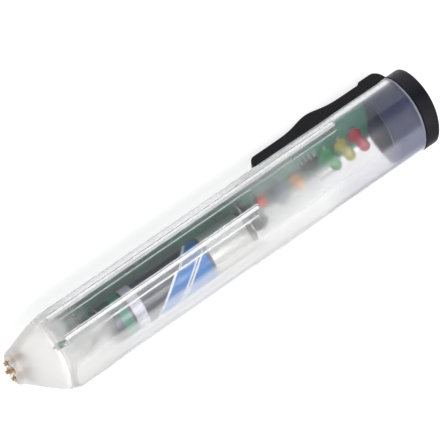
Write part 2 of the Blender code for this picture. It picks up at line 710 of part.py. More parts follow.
def make_coil_spring():
    """The cone spring between the cell's flat end and its contact."""
    start = CELL_START + CELL_LENGTH + SEAT_GAP + SPRING_WIRE_RADIUS
    length = SPRING_LENGTH - 2 * SPRING_WIRE_RADIUS
    curve = bpy.data.curves.new("battery_spring", "CURVE")
    curve.dimensions = "3D"
    curve.bevel_depth = SPRING_WIRE_RADIUS
    curve.bevel_resolution = 1
    curve.use_fill_caps = True
    line = curve.splines.new("POLY")
    count = int(SPRING_TURNS * 14) + 1
    line.points.add(count - 1)
    for index in range(count):
        share = index / (count - 1)
        angle = 2 * math.pi * SPRING_TURNS * share
        radius = SPRING_SMALL_RADIUS + (SPRING_LARGE_RADIUS - SPRING_SMALL_RADIUS) * share
        line.points[index].co = (
            at(start + length * share),
            radius * math.cos(angle),
            CELL_AXIS_Z - 1.0 * MM + radius * math.sin(angle),
            1.0,
        )
    piece = bpy.data.objects.new("battery_spring", curve)
    curve.materials.append(material("spring_steel"))
    bpy.context.collection.objects.link(piece)


# ---------------------------------------------------------------- probes
def make_probe(number, y, z):
    """One sprung probe: a barrel fixed in the nose and a plunger that slides in it."""
    tip = TUBE_LENGTH
    bore = PROBE_BARREL_RADIUS - PROBE_BARREL_WALL
    depth = PLUNGER_LENGTH + PROBE_TRAVEL
    axis = Vector((0, y, z))
    outer = [(at(tip), PROBE_BARREL_RADIUS), (at(PROBE_TAIL), PROBE_BARREL_RADIUS)]
    inner = [(at(tip), bore), (at(tip - depth), bore)]
    barrel = bmesh.new()
    add_cup(
        barrel,
        [round_ring(axis + Vector((x, 0, 0)), "X", radius, 12) for x, radius in outer],
        [round_ring(axis + Vector((x, 0, 0)), "X", radius, 12) for x, radius in inner],
    )
    finish(barrel, "probe_barrel_%d" % number, "brass_barrel")
    shaft = bore - PROBE_CLEARANCE
    rest_end = tip + PROBE_STAND_OUT
    profile = [
        (at(tip - PLUNGER_LENGTH + SEAT_GAP), shaft),
        (at(rest_end - 0.6 * shaft), shaft),
        (at(rest_end - 0.2 * shaft), 0.8 * shaft),
        (at(rest_end), 0.4 * shaft),
    ]
    slide = joint_empty("probe_axis_%d" % number, Vector((at(tip), y, z)))
    plunger = bmesh.new()
    add_turned(plunger, axis, "X", profile, sides=12)
    finish(plunger, "probe_plunger_%d" % number, "gold_plate", slide)


def make_probe_lead(number, y, z):
    """A bent wire from a probe's barrel down to the board's component face."""
    rest_z = BOARD_FACE_Z + SOLDER_GAP + PROBE_WIRE_RADIUS
    tail = PROBE_TAIL - 2 * SOLDER_GAP
    upper = z > PROBE_CENTRE_Z
    spread = y if upper else y + math.copysign(PROBE_WIRE_SPREAD, y)
    bend = tail - PROBE_WIRE_BEND
    land = bend - PROBE_WIRE_BEND
    foot = BOARD_END - PROBE_WIRE_FOOT
    points = [(tail, y, z), (bend, y, z), (land, spread, rest_z), (foot, spread, rest_z)]
    curve = bpy.data.curves.new("probe_lead_%d" % number, "CURVE")
    curve.dimensions = "3D"
    curve.bevel_depth = PROBE_WIRE_RADIUS
    curve.bevel_resolution = 1
    curve.use_fill_caps = True
    line = curve.splines.new("POLY")
    line.points.add(len(points) - 1)
    for point, (reach, py, pz) in zip(line.points, points):
        point.co = (at(reach), py, pz, 1.0)
    piece = bpy.data.objects.new(curve.name, curve)
    curve.materials.append(material("tinned_wire"))
    bpy.context.collection.objects.link(piece)


# ---------------------------------------------------------------- whole tester
def main():
    """Builds every piece of the tester."""
    clear_scene()
    make_tube()
    cap_slide = joint_empty("cap_slide", Vector((at(0), 0, AXIS_Z)))
    make_cap(cap_slide)
    clip_place = Vector((at(-CLIP_ROOT_OVERLAP), 0, AXIS_Z - HALF_HEIGHT - CLIP_GAP))
    make_clip(joint_empty("clip_flex", clip_place))
    make_board_parts()
    make_cell()
    make_contact("positive_contact", CELL_START - SEAT_GAP, -1, -1)
    spring_seat = CELL_START + CELL_LENGTH + SPRING_LENGTH + 2 * SEAT_GAP
    make_contact("negative_contact", spring_seat, 1, -1)
    make_coil_spring()
    for number, (y, z) in enumerate(probe_places(), start=1):
        make_probe(number, y, z)
        make_probe_lead(number, y, z)


main()
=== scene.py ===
"""Looks of the pocket component tester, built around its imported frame.

Metres, +Z up, X along the tube with +X towards the probes. Distances called reach run from the
tube's rim towards the probes.
"""

import math

import bmesh
import bpy
from mathutils import Matrix, Vector


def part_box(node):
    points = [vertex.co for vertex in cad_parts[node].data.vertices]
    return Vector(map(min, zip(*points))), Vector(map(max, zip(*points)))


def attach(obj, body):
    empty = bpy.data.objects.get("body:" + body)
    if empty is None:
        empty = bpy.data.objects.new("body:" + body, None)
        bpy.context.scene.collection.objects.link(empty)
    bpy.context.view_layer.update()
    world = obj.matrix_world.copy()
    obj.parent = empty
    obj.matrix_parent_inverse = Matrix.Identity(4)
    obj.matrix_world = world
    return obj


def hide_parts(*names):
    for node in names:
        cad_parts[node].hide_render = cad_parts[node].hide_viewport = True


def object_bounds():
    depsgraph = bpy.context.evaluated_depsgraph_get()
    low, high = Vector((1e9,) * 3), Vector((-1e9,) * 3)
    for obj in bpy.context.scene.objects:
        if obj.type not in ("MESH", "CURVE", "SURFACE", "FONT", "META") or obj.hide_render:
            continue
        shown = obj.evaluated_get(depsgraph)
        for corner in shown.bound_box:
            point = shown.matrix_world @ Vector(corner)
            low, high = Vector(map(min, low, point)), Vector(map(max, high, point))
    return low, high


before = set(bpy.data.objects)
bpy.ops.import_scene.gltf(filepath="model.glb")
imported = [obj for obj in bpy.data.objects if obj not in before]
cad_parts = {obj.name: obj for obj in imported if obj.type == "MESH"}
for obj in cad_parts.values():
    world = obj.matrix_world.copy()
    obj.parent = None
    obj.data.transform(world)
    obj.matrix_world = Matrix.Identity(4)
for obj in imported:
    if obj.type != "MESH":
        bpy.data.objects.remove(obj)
CAD_LOW, CAD_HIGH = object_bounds()

MM = 0.001

# ---------------------------------------------------------------- places read from the frame
TUBE_LOW, TUBE_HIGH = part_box("tube_shell")
BOARD_LOW, BOARD_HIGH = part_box("circuit_board")
CELL_LOW, CELL_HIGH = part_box("battery_cell")
CAP_LOW, CAP_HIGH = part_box("end_cap")
CLIP_LOW, CLIP_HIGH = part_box("pocket_clip")
SPRING_LOW, SPRING_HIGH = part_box("battery_spring")

RIM_X = TUBE_LOW.x
TUBE_LENGTH = TUBE_HIGH.x - TUBE_LOW.x
HALF_WIDTH = (TUBE_HIGH.y - TUBE_LOW.y) / 2
HALF_HEIGHT = (TUBE_HIGH.z - TUBE_LOW.z) / 2
AXIS_Z = (TUBE_HIGH.z + TUBE_LOW.z) / 2
BOARD_FACE_Z = BOARD_HIGH.z
BOARD_BACK_Z = BOARD_LOW.z
CELL_AXIS_Z = (CELL_LOW.z + CELL_HIGH.z) / 2

# ---------------------------------------------------------------- shape values, as in the CAD source
OVAL_POWER = 2.2
OVAL_SIDES = 144
TUBE_WALL = 1.5 * MM
BORE_HALF_WIDTH = HALF_WIDTH - TUBE_WALL
BORE_HALF_HEIGHT = HALF_HEIGHT - TUBE_WALL
NOSE_LENGTH = 12.6 * MM
NOSE_TIP_HALF_WIDTH = 5.8 * MM
NOSE_TIP_HALF_HEIGHT = 3.8 * MM
NOSE_TIP_DROP = 3.2 * MM
NOSE_EDGE_RADIUS = 1.5 * MM
NOSE_SHOULDER_POWER = 1.35
NOSE_FLOOR = 8.9 * MM
NOSE_POCKET_DEPTH = 4.2 * MM
BORE_END = TUBE_LENGTH - NOSE_FLOOR
BOARD_RIB_THICKNESS = 1.0 * MM
CELL_RIB_THICKNESS = 1.0 * MM
CELL_RIB_LIFT = 3.4 * MM
CELL_RIB_GAP = 1.1 * MM
CELL_RADIUS = 5.25 * MM
RIB_ROOT = 0.7 * MM
BOARD_RIB_START = 18.7 * MM
CELL_RIB_START = 48.1 * MM
# The glowing strips inside the ribs' roots are painted highlights, standing in for the bright line of light
# there.
RIB_GLOW_THICKNESS = 0.8 * MM
BOARD_RIB_GLOW_START = 18.8 * MM
CELL_RIB_GLOW_START = 48.2 * MM
SEAT_GAP = 0.3 * MM
SKIRT_CLEARANCE = 0.25 * MM
SKIRT_WALL = 1.4 * MM
CAP_END_WALL = 2.2 * MM
CAP_CROWN = 0.9 * MM
CAP_EDGE_RADIUS = 1.3 * MM
CLIP_GAP = 0.3 * MM
LEAD_RADIUS = 0.25 * MM
LEAD_PITCH = 2.54 * MM
PROBE_HOLE_RADIUS = 1.0 * MM
LEAD_HALF_SPREAD = 3.15 * MM
TRANSISTOR_RADIUS = 2.3 * MM
AXIAL_NODES = ["resistor_1", "resistor_2", "resistor_3", "diode_1", "diode_2"]

# ---------------------------------------------------------------- camera values
TILT = math.radians(17.5)
ROLL = math.radians(30.0)
AIM_ANGLE = math.radians(34.45)
FRAME_WIDTH = 109.0 * MM
CAMERA_DISTANCE = 1.0
AIM_X = -3.05 * MM
AIM_LIFT = 3.22 * MM
AIM_LEFT = 0.55 * MM

# ---------------------------------------------------------------- paint values
# Most of a noise's values lie between these two.
NOISE_LOW = 0.3
NOISE_HIGH = 0.7
# Blotches scale the tube's milk by this much.
MOTTLE_LOW = 0.85
MOTTLE_HIGH = 1.12

# The tube's milk. Heights are from the axis, and the crown's are shares of the half height. The
# wall's values are of the bore's oval equation, which is 0 on the axis and 1 on the wall.
CROWN_FROM, CROWN_FULL = 0.875, 0.965
WALL_FROM, WALL_FULL = 0.80, 0.92
BOARD_SIDE_TOP, CELL_SIDE_BOTTOM = 2.6 * MM, 3.6 * MM

# The tube's stops are (reach in metres, value) and are read over this length.
TUBE_PAINT_LENGTH = 0.12
OUTER_ROUGHNESS = [(0.0, 0.03), (0.1085, 0.04), (0.111, 0.36), (0.12, 0.3)]
OUTER_MILK = [
    (0.0, 0.55), (0.0005, 0.5), (0.0009, 0.01), (0.1085, 0.02),
    (0.111, 0.66), (0.114, 0.62), (0.117, 0.34), (0.12, 0.28),
]
INNER_ROUGHNESS = [(0.0, 0.12), (0.027, 0.18), (0.0345, 0.265), (0.045, 0.265), (0.054, 0.18), (0.1, 0.2)]
INNER_MILK = [
    (0.0, 0.06), (0.009, 0.06), (0.0125, 0.14), (0.03, 0.2), (0.036, 0.38),
    (0.048, 0.34), (0.055, 0.02), (0.0925, 0.04), (0.0985, 0.72), (0.103, 0.8),
]
INNER_MILK_BELOW = [
    (0.0, 0.06), (0.009, 0.06), (0.0125, 0.08), (0.03, 0.14), (0.036, 0.3),
    (0.046, 0.3), (0.055, 0.02), (0.0985, 0.03), (0.1045, 0.4), (0.1065, 0.8),
]
RIB_ROUGHNESS = [(0.0, 0.06), (0.1, 0.06)]
RIB_MILK = [(0.0, 0.15), (0.1, 0.15)]

# The cell's print, in mm along the cell. Stripes: (share from STRIPE_FROM to STRIPE_TO, colour).
CELL_SPAN = 44.5
SILVER_END = 12.7
STRIPES_BEGIN = 13.6
STRIPES_END = 32.5
STRIPE_SLANT = 1.43
STRIPE_FROM = 0.0
STRIPE_TO = 40.0
NAVY = (26, 30, 52)
BLUE = (0, 112, 188)
PALE = (232, 240, 248)
STRIPES = [(0.0, BLUE), (0.385, PALE), (0.405, NAVY), (0.415, PALE), (0.43, BLUE), (0.575, PALE), (0.6, NAVY)]


def at(reach):
    """World X of a place measured from the tube's rim towards the probes."""
    return RIM_X + reach


# ---------------------------------------------------------------- material helpers
class Paint:
    """A material and short ways to add nodes to it."""

    def __init__(self, name):
        self.material = bpy.data.materials.new(name)
        self.material.use_nodes = True
        self.nodes = self.material.node_tree.nodes
        self.links = self.material.node_tree.links
        self.shader = self.nodes["Principled BSDF"]
        self.output = self.nodes["Material Output"]

    def add(self, kind, **values):
        """A node with its properties set."""
        node = self.nodes.new(kind)
        for key, value in values.items():
            setattr(node, key, value)
        return node

    def link(self, source, target):
        self.links.new(source, target)

    def set(self, **values):
        """Fixed values on the shader's own sockets, named with underscores for spaces."""
        for key, value in values.items():
            self.shader.inputs[key.replace("_", " ")].default_value = value

    def place(self):
        """The surface point in the object's own frame, in metres."""
        return self.add("ShaderNodeTexCoord").outputs["Object"]

    def noise(self, scale, detail=3.0, roughness=0.5, stretch=(1, 1, 1)):
        """Fractal noise of about that many features a metre."""
        mapping = self.add("ShaderNodeMapping")
        mapping.inputs["Scale"].default_value = stretch
        self.link(self.place(), mapping.inputs["Vector"])
        node = self.add("ShaderNodeTexNoise")
        node.inputs["Scale"].default_value = scale
        node.inputs["Detail"].default_value = detail
        node.inputs["Roughness"].default_value = roughness
        self.link(mapping.outputs["Vector"], node.inputs["Vector"])
        return node.outputs["Fac"]

    def ramp(self, source, stops, interpolation="LINEAR"):
        """Colours by value: stops list (place, colour)."""
        node = self.add("ShaderNodeValToRGB")
        node.color_ramp.interpolation = interpolation
        elements = node.color_ramp.elements
        while len(elements) < len(stops):
            elements.new(0.5)
        for element, (place, colour) in zip(elements, stops):
            element.position = place
            element.color = (*colour, 1.0)
        self.link(source, node.inputs["Fac"])
        return node.outputs["Color"]

    def span(self, source, low, high, to_low=0.0, to_high=1.0, smooth=False):
        """Maps a range of values to another, clamped."""
        node = self.add("ShaderNodeMapRange")
        node.interpolation_type = "SMOOTHSTEP" if smooth else "LINEAR"
        node.inputs["From Min"].default_value = low
        node.inputs["From Max"].default_value = high
        node.inputs["To Min"].default_value = to_low
        node.inputs["To Max"].default_value = to_high
        self.link(source, node.inputs["Value"])
        return node.outputs["Result"]

    def math(self, operation, first, second=None):
        """One math node. Each input is a socket or a number."""
        node = self.add("ShaderNodeMath", operation=operation)
        for index, value in enumerate((first, second)):
            if value is None:
                continue
            if isinstance(value, (int, float)):
                node.inputs[index].default_value = value
            else:
                self.link(value, node.inputs[index])
        return node.outputs["Value"]

    def along(self, direction):
        """How far the point lies along a direction, in metres."""
        node = self.add("ShaderNodeVectorMath", operation="DOT_PRODUCT")
        self.link(self.place(), node.inputs[0])
        node.inputs[1].default_value = direction
        return node.outputs["Value"]

    def past(self, direction, start):
        """How far the point lies past a place along a direction, in metres."""
        return self.math("SUBTRACT", self.along(direction), start)

    def mix(self, factor, first, second):
        """A colour between two, each a socket or a colour. Sockets 6, 7 and 2 are the colour ones."""
        node = self.add("ShaderNodeMix", data_type="RGBA")
        self.link(factor, node.inputs["Factor"])
        for socket, value in ((node.inputs[6], first), (node.inputs[7], second)):
            if isinstance(value, tuple):
                socket.default_value = (*value, 1.0)
            else:
                self.link(value, socket)
        return node.outputs[2]

    def bump(self, height, strength, distance):
        """Relief on the shader's normal."""
        node = self.add("ShaderNodeBump")
        node.inputs["Strength"].default_value = strength
        node.inputs["Distance"].default_value = distance
        self.link(height, node.inputs["Height"])
        self.link(node.outputs["Normal"], self.shader.inputs["Normal"])

    def colour(self, source):
        self.link(source, self.shader.inputs["Base Color"])

    def rough(self, source):
        self.link(source, self.shader.inputs["Roughness"])

    def vary_colour(self, noise, dark, light):
        """Base colour from dark to light by a noise."""
        self.colour(self.ramp(noise, [(NOISE_LOW, dark), (NOISE_HIGH, light)]))

    def vary_rough(self, noise, low, high):
        """Roughness from low to high by a noise."""
        self.rough(self.span(noise, NOISE_LOW, NOISE_HIGH, low, high))


def srgb(red, green, blue):
    """A linear colour from 0 to 255 display values."""
    def linear(value):
        share = value / 255
        return share / 12.92 if share <= 0.04045 else ((share + 0.055) / 1.055) ** 2.4
    return (linear(red), linear(green), linear(blue))


# ---------------------------------------------------------------- materials
def tube_stops(stops):
    """Ramp stops for values along the tube."""
    return [(reach / TUBE_PAINT_LENGTH, (value,) * 3) for reach, value in stops]


def tube_paint(name, roughness, milk, milk_below=None, at_wall=False, crown_milk=0.0, tint=(112, 120, 188)):
    """Clear moulded plastic that turns milky in places.

    The lists give its roughness and its milky share by reach. milk_below is the milky share on the
    board's side, below the cell's ribs. With at_wall it is milky only near the wall, as on the ribs.
    crown_milk is the milky share along the top, and tint is the milk's colour over the cap's skirt, a painted
    shade: darker and bluer, standing in for the dark skirt seen through the milk.
    """
    paint = Paint(name)
    paint.set(IOR=1.4, Transmission_Weight=1.0, Metallic=0.0)
    share = paint.span(paint.past((1, 0, 0), RIM_X), 0.0, TUBE_PAINT_LENGTH)
    blotches = paint.noise(150, roughness=0.55, stretch=(0.4, 1, 1))
    mottle = paint.span(blotches, NOISE_LOW, NOISE_HIGH, MOTTLE_LOW, MOTTLE_HIGH)
    rough = paint.ramp(share, tube_stops(roughness))
    veil = paint.ramp(share, tube_stops(milk))
    paint.rough(paint.math("MULTIPLY", rough, paint.span(mottle, MOTTLE_LOW, MOTTLE_HIGH, 0.97, 1.03)))
    lift = paint.past((0, 0, 1), AXIS_Z)
    crown = paint.span(lift, CROWN_FROM * HALF_HEIGHT, CROWN_FULL * HALF_HEIGHT, 0.0, crown_milk, True)
    if milk_below:
        below = paint.ramp(share, tube_stops(milk_below))
        side = paint.span(lift, BOARD_SIDE_TOP, CELL_SIDE_BOTTOM, smooth=True)
        veil = paint.mix(side, below, veil)
    if at_wall:
        across = paint.math("ABSOLUTE", paint.along((0, 1 / BORE_HALF_WIDTH, 0)))
        height = paint.math("ABSOLUTE", paint.math("MULTIPLY", lift, 1 / BORE_HALF_HEIGHT))
        powers = [paint.math("POWER", value, OVAL_POWER) for value in (across, height)]
        near_wall = paint.span(paint.math("ADD", *powers), WALL_FROM, WALL_FULL)
        veil = paint.math("MULTIPLY", veil, near_wall)
    paint.colour(paint.mix(mottle, srgb(246, 246, 247), srgb(240, 240, 241)))
    paint.bump(paint.noise(420, detail=2.0, stretch=(0.02, 1, 1)), strength=0.02, distance=0.00003)
    # Painted shade: the milk is darker and bluer over the cap's skirt, standing in for the dark skirt behind
    # it; further on it is grey, then near white.
    tints = [
        (0.06, srgb(*tint)),
        (0.1, srgb(212, 210, 218)),
        (0.2, srgb(216, 214, 220)),
        (0.27, srgb(248, 247, 246)),
    ]
    milk_colour = paint.ramp(share, tints)
    scattered = paint.add("ShaderNodeBsdfDiffuse")
    paint.link(milk_colour, scattered.inputs["Color"])
    through = paint.add("ShaderNodeBsdfTranslucent")
    paint.link(milk_colour, through.inputs["Color"])
    soft = paint.add("ShaderNodeMixShader")
    soft.inputs["Fac"].default_value = 0.5
    paint.link(scattered.outputs["BSDF"], soft.inputs[1])
    paint.link(through.outputs["BSDF"], soft.inputs[2])
    blend = paint.add("ShaderNodeMixShader")
    milky = paint.math("MAXIMUM", paint.math("MULTIPLY", veil, mottle), crown)
    paint.link(milky, blend.inputs["Fac"])
    paint.link(paint.shader.outputs["BSDF"], blend.inputs[1])
    paint.link(soft.outputs["Shader"], blend.inputs[2])
    paint.link(blend.outputs["Shader"], paint.output.inputs["Surface"])
    return paint.material


def rib_glow_paint():
    """Painted highlight where a rib joins the wall: a milky white streak that glows a little, standing in for
    the bright line of light along the rib's root.
    """
    paint = Paint("painted_rib_glow")
    streak = paint.noise(300, stretch=(0.15, 1, 1))
    paint.vary_colour(streak, srgb(236, 236, 238), srgb(252, 252, 252))
    paint.vary_rough(streak, 0.5, 0.7)
    paint.bump(streak, strength=0.1, distance=0.00005)
    # The glow is painted light: the strip stands in for a highlight and is no lamp.
    paint.set(Emission_Color=(1, 1, 1, 1), Emission_Strength=0.25)
    return paint.material


def black_plastic_paint(name, bright=1.0):
    """Near-black satin moulding with a fine eroded grain. The part inside the tube is painted a lighter
    blue-grey, painted light standing in for the milky wall's scattered light over the black.
    """
    paint = Paint(name)
    grain = paint.noise(1100, detail=2.0)
    patches = paint.noise(220)
    dark = srgb(9 * bright, 9 * bright, 14 * bright)
    light = srgb(16 * bright, 16 * bright, 25 * bright)
    # Painted light: a lighter blue-grey for what lies inside the tube, standing in for the milky wall's
    # scattered light over the black.
    painted_haze_slate = paint.ramp(patches, [(0.25, srgb(50, 54, 78)), (0.75, srgb(60, 64, 90))])
    reach = paint.past((1, 0, 0), RIM_X)
    over_tube_bottom = paint.past((0, 0, 1), AXIS_Z - HALF_HEIGHT)
    past_rim = paint.math("GREATER_THAN", reach, 0.2 * MM)
    in_height = paint.math("GREATER_THAN", over_tube_bottom, 0.0)
    inside = paint.math("MULTIPLY", past_rim, in_height)
    paint.colour(paint.mix(inside, paint.ramp(patches, [(0.25, dark), (0.75, light)]), painted_haze_slate))
    paint.vary_rough(paint.noise(900, detail=4.0, roughness=0.6), 0.34, 0.5)
    paint.bump(grain, strength=0.04, distance=0.00004)
    paint.set(Specular_IOR_Level=0.2)
    return paint.material


def board_paint():
    """Green solder mask over glass weave."""
    paint = Paint("board_mask")
    weave = paint.noise(2600, detail=2.0)
    cloud = paint.noise(90)
    paint.vary_colour(cloud, srgb(0, 102, 80), srgb(0, 128, 102))
    paint.vary_rough(weave, 0.28, 0.42)
    paint.bump(weave, strength=0.2, distance=0.00003)
    return paint.material


def track_paint():
    """Copper under the mask, a lighter green."""
    paint = Paint("masked_track")
    cloud = paint.noise(800, detail=2.0)
    paint.vary_colour(cloud, srgb(24, 124, 98), srgb(36, 142, 112))
    paint.vary_rough(cloud, 0.26, 0.36)
    paint.set(Metallic=0.25)
    return paint.material


def metal_paint(name, dark, light, rough_low, rough_high):
    """A metal with fine tone and roughness variation."""
    paint = Paint(name)
    tone = paint.noise(900.0, detail=4.0, roughness=0.6)
    paint.vary_colour(tone, dark, light)
    paint.vary_rough(tone, rough_low, rough_high)
    paint.bump(paint.noise(2700.0, roughness=0.6), strength=0.08, distance=0.00003)
    paint.set(Metallic=1.0)
    return paint.material


def epoxy_paint(name, dark, light, roughness=0.3, coat=0.4):
    """Dipped or moulded epoxy: slight orange peel and tone changes."""
    paint = Paint(name)
    tone = paint.noise(500)
    paint.vary_colour(tone, dark, light)
    paint.vary_rough(paint.noise(1500), roughness - 0.05, roughness + 0.08)
    paint.bump(paint.noise(1800, detail=2.0), strength=0.15, distance=0.00005)
    paint.set(Coat_Weight=coat, Coat_Roughness=0.12)
    return paint.material


def lens_paint(name, dark, light):
    """Tinted lamp epoxy, partly clear, with streaks of resin."""
    paint = Paint(name)
    streak = paint.noise(700, detail=2.0, stretch=(1, 1, 0.4))
    paint.vary_colour(streak, dark, light)
    paint.vary_rough(streak, 0.06, 0.14)
    paint.set(Transmission_Weight=0.5, IOR=1.5, Coat_Weight=0.5, Coat_Roughness=0.05)
    return paint.material


def cell_paint():
    """The cell's printed sleeve: plain bands, slanted stripes and a bare silver end."""
    paint = Paint("cell_sleeve")
    reach = paint.math("MULTIPLY", paint.past((1, 0, 0), CELL_LOW.x), 1 / MM)
    down = (0, math.sin(ROLL), math.cos(ROLL))
    sideways = paint.past(down, CELL_AXIS_Z * math.cos(ROLL))
    slanted = paint.math("SUBTRACT", reach, paint.math("MULTIPLY", sideways, STRIPE_SLANT / MM))
    stops = [(share, srgb(*colour)) for share, colour in STRIPES]
    stripes = paint.ramp(paint.span(slanted, STRIPE_FROM, STRIPE_TO), stops, "CONSTANT")
    bands = paint.ramp(
        paint.span(reach, 0.0, CELL_SPAN),
        [
            (0.0, srgb(214, 214, 210)),
            (0.285, srgb(90, 96, 110)),
            (0.30, srgb(30, 34, 58)),
            (0.755, srgb(196, 196, 208)),
            (0.825, srgb(34, 38, 60)),
            (0.84, srgb(26, 122, 98)),
            (0.905, srgb(34, 38, 60)),
            (0.985, srgb(168, 168, 166)),
        ],
        "CONSTANT",
    )
    past_begin = paint.math("GREATER_THAN", reach, STRIPES_BEGIN)
    before_end = paint.math("LESS_THAN", reach, STRIPES_END)
    in_stripes = paint.math("MULTIPLY", past_begin, before_end)
    paint.colour(paint.mix(in_stripes, bands, stripes))
    silver = paint.math("LESS_THAN", reach, SILVER_END)
    paint.link(paint.math("MULTIPLY", silver, 0.75), paint.shader.inputs["Metallic"])
    paint.vary_rough(paint.noise(600), 0.30, 0.36)
    paint.bump(paint.noise(120, detail=2.0, stretch=(1, 0.3, 0.3)), strength=0.05, distance=0.00008)
    paint.set(Coat_Weight=0.35, Coat_Roughness=0.1)
    return paint.material


def floor_paint():
    """Plain pale floor."""
    paint = Paint("floor_white")
    tone = paint.noise(6, detail=2.0)
    paint.colour(paint.ramp(tone, [(0.0, (0.24, 0.24, 0.24)), (1.0, (0.26, 0.26, 0.26))]))
    paint.set(Roughness=0.9, Specular_IOR_Level=0.1, Emission_Color=(1, 1, 1, 1), Emission_Strength=0.84)
    return paint.material


# ---------------------------------------------------------------- shape helpers
def oval_ring(x, half_y, half_z, centre_z=AXIS_Z):
    """Points of one oval cross-section."""
    ring = []
    for step in range(OVAL_SIDES):
        angle = 2 * math.pi * step / OVAL_SIDES
        cos_a = math.cos(angle)
        sin_a = math.sin(angle)
        y = half_y * math.copysign(abs(cos_a) ** (2 / OVAL_POWER), cos_a)
        z = half_z * math.copysign(abs(sin_a) ** (2 / OVAL_POWER), sin_a)
        ring.append(Vector((x, y, centre_z + z)))
    return ring


def oval_half_width(half_y, half_z, height):
    """Half the oval's width at a height above its centre."""
    return half_y * (1 - abs(height / half_z) ** OVAL_POWER) ** (1 / OVAL_POWER)


def round_ring(centre, axis, radius, sides):
    """Points of a circle about a centre, square to the X or the Z axis."""
    ring = []
    for step in range(sides):
        angle = 2 * math.pi * step / sides
        across = radius * math.cos(angle)
        along = radius * math.sin(angle)
        if axis == "X":
            ring.append(centre + Vector((0, across, along)))
        else:
            ring.append(centre + Vector((across, along, 0)))
    return ring


def skin(bm, rings, cap_first=True, cap_last=True):
    """Joins rings of equal count into a tube of faces and returns the vertices, ring by ring."""
    grid = [[bm.verts.new(point) for point in ring] for ring in rings]
    for first, second in zip(grid, grid[1:]):
        for index in range(len(first)):
            after = (index + 1) % len(first)
            bm.faces.new((first[index], first[after], second[after], second[index]))
    if cap_first:
        bm.faces.new(grid[0])
    if cap_last:
        bm.faces.new(grid[-1])
    return grid


def add_turned(bm, origin, axis, profile, sides=32):
    """A solid turned about an axis: the profile lists (place along the axis, radius)."""
    unit = Vector((1, 0, 0)) if axis == "X" else Vector((0, 0, 1))
    skin(bm, [round_ring(origin + unit * along, axis, radius, sides) for along, radius in profile])


def add_cup(bm, outer, inner):
    """A hollow solid, open at its first rings and closed at its last ones."""
    shell = skin(bm, outer, cap_first=False)
    hollow = skin(bm, inner, cap_first=False)
    for index in range(len(shell[0])):
        after = (index + 1) % len(shell[0])
        bm.faces.new((shell[0][index], shell[0][after], hollow[0][after], hollow[0][index]))


def add_box(bm, low, high, bevel=0.0, segments=3):
    """A box between two corners, its edges rounded."""
    middle = (Vector(low) + Vector(high)) / 2
    size = Vector(high) - Vector(low)
    matrix = Matrix.Translation(middle) @ Matrix.Diagonal((size.x, size.y, size.z, 1.0))
    made = bmesh.ops.create_cube(bm, size=1.0, matrix=matrix)
    if bevel:
        edges = list({edge for vert in made["verts"] for edge in vert.link_edges})
        bmesh.ops.bevel(bm, geom=edges, offset=bevel, segments=segments, affect="EDGES", profile=0.5)


def add_plate(bm, outline, axis, low, high):
    """An outline in the two other axes, extruded along X, Y or Z from low to high."""
    place = "XYZ".index(axis)
    rings = []
    for along in (low, high):
        rings.append([Vector((*pair[:place], along, *pair[place:])) for pair in outline])
    skin(bm, rings)


def add_wire(bm, points, radius, sides=10):
    """A round wire through points, with mitred corners and flat ends."""
    rings = []
    across = None
    for index, point in enumerate(points):
        before = points[max(index - 1, 0)]
        after = points[min(index + 1, len(points) - 1)]
        into = (point - before).normalized() if index else (after - point).normalized()
        out = (after - point).normalized() if index < len(points) - 1 else into
        heading = (into + out).normalized()
        if across is None:
            seed = Vector((0, 0, 1)) if abs(heading.z) < 0.9 else Vector((0, 1, 0))
            across = heading.cross(seed).normalized()
        across = (across - heading * across.dot(heading)).normalized()
        side = heading.cross(across)
        ring = []
        for step in range(sides):
            angle = 2 * math.pi * step / sides
            ring.append(point + radius * (math.cos(angle) * across + math.sin(angle) * side))
        rings.append(ring)
    skin(bm, rings)


def arc(centre, radius, start_deg, end_deg, steps):
    """Points along an arc, as pairs."""
    points = []
    for step in range(steps + 1):
        angle = math.radians(start_deg + (end_deg - start_deg) * step / steps)
        points.append((centre[0] + radius * math.cos(angle), centre[1] + radius * math.sin(angle)))
    return points


def piece(bm, name, paint, body="tester_body", stands_for=(), smooth_deg=35):
    """Turns a bmesh into a smooth-shaded piece that rides on a body."""
    bmesh.ops.recalc_face_normals(bm, faces=bm.faces)
    mesh = bpy.data.meshes.new(name)
    bm.to_mesh(mesh)
    bm.free()
    mesh.shade_smooth()
    mesh.set_sharp_from_angle(angle=math.radians(smooth_deg))
    made = bpy.data.objects.new(name, mesh)
    made.data.materials.append(paint)
    bpy.context.scene.collection.objects.link(made)
    if body:
        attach(made, body)
    if stands_for:
        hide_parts(*stands_for)
    return made


def apply_boolean(target, tool, operation):
    """Cuts or joins another mesh into the target for good, and removes the tool."""
    change = target.modifiers.new("shape", "BOOLEAN")
    change.operation = operation
    change.object = tool
    change.solver = "EXACT"
    bpy.context.view_layer.update()
    evaluated = target.evaluated_get(bpy.context.evaluated_depsgraph_get())
    mesh = bpy.data.meshes.new_from_object(evaluated)
    target.modifiers.clear()
    target.data = mesh
    bpy.data.objects.remove(tool, do_unlink=True)


def repaint(node, paint):
    """Gives a CAD node its finished material."""
    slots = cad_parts[node].data.materials
    slots.clear()
    slots.append(paint)


# ---------------------------------------------------------------- tube
def nose_section(share, inset=0.0):
    """Half width, half height and centre height of the nose, from its start (0) to its tip (1)."""
    ease = 0.85 * share ** NOSE_SHOULDER_POWER + 0.15 * share * share * (3 - 2 * share)
    half_y = HALF_WIDTH + (NOSE_TIP_HALF_WIDTH - HALF_WIDTH) * ease
    half_z = HALF_HEIGHT + (NOSE_TIP_HALF_HEIGHT - HALF_HEIGHT) * ease
    return half_y - inset, half_z - inset, AXIS_Z - NOSE_TIP_DROP * ease


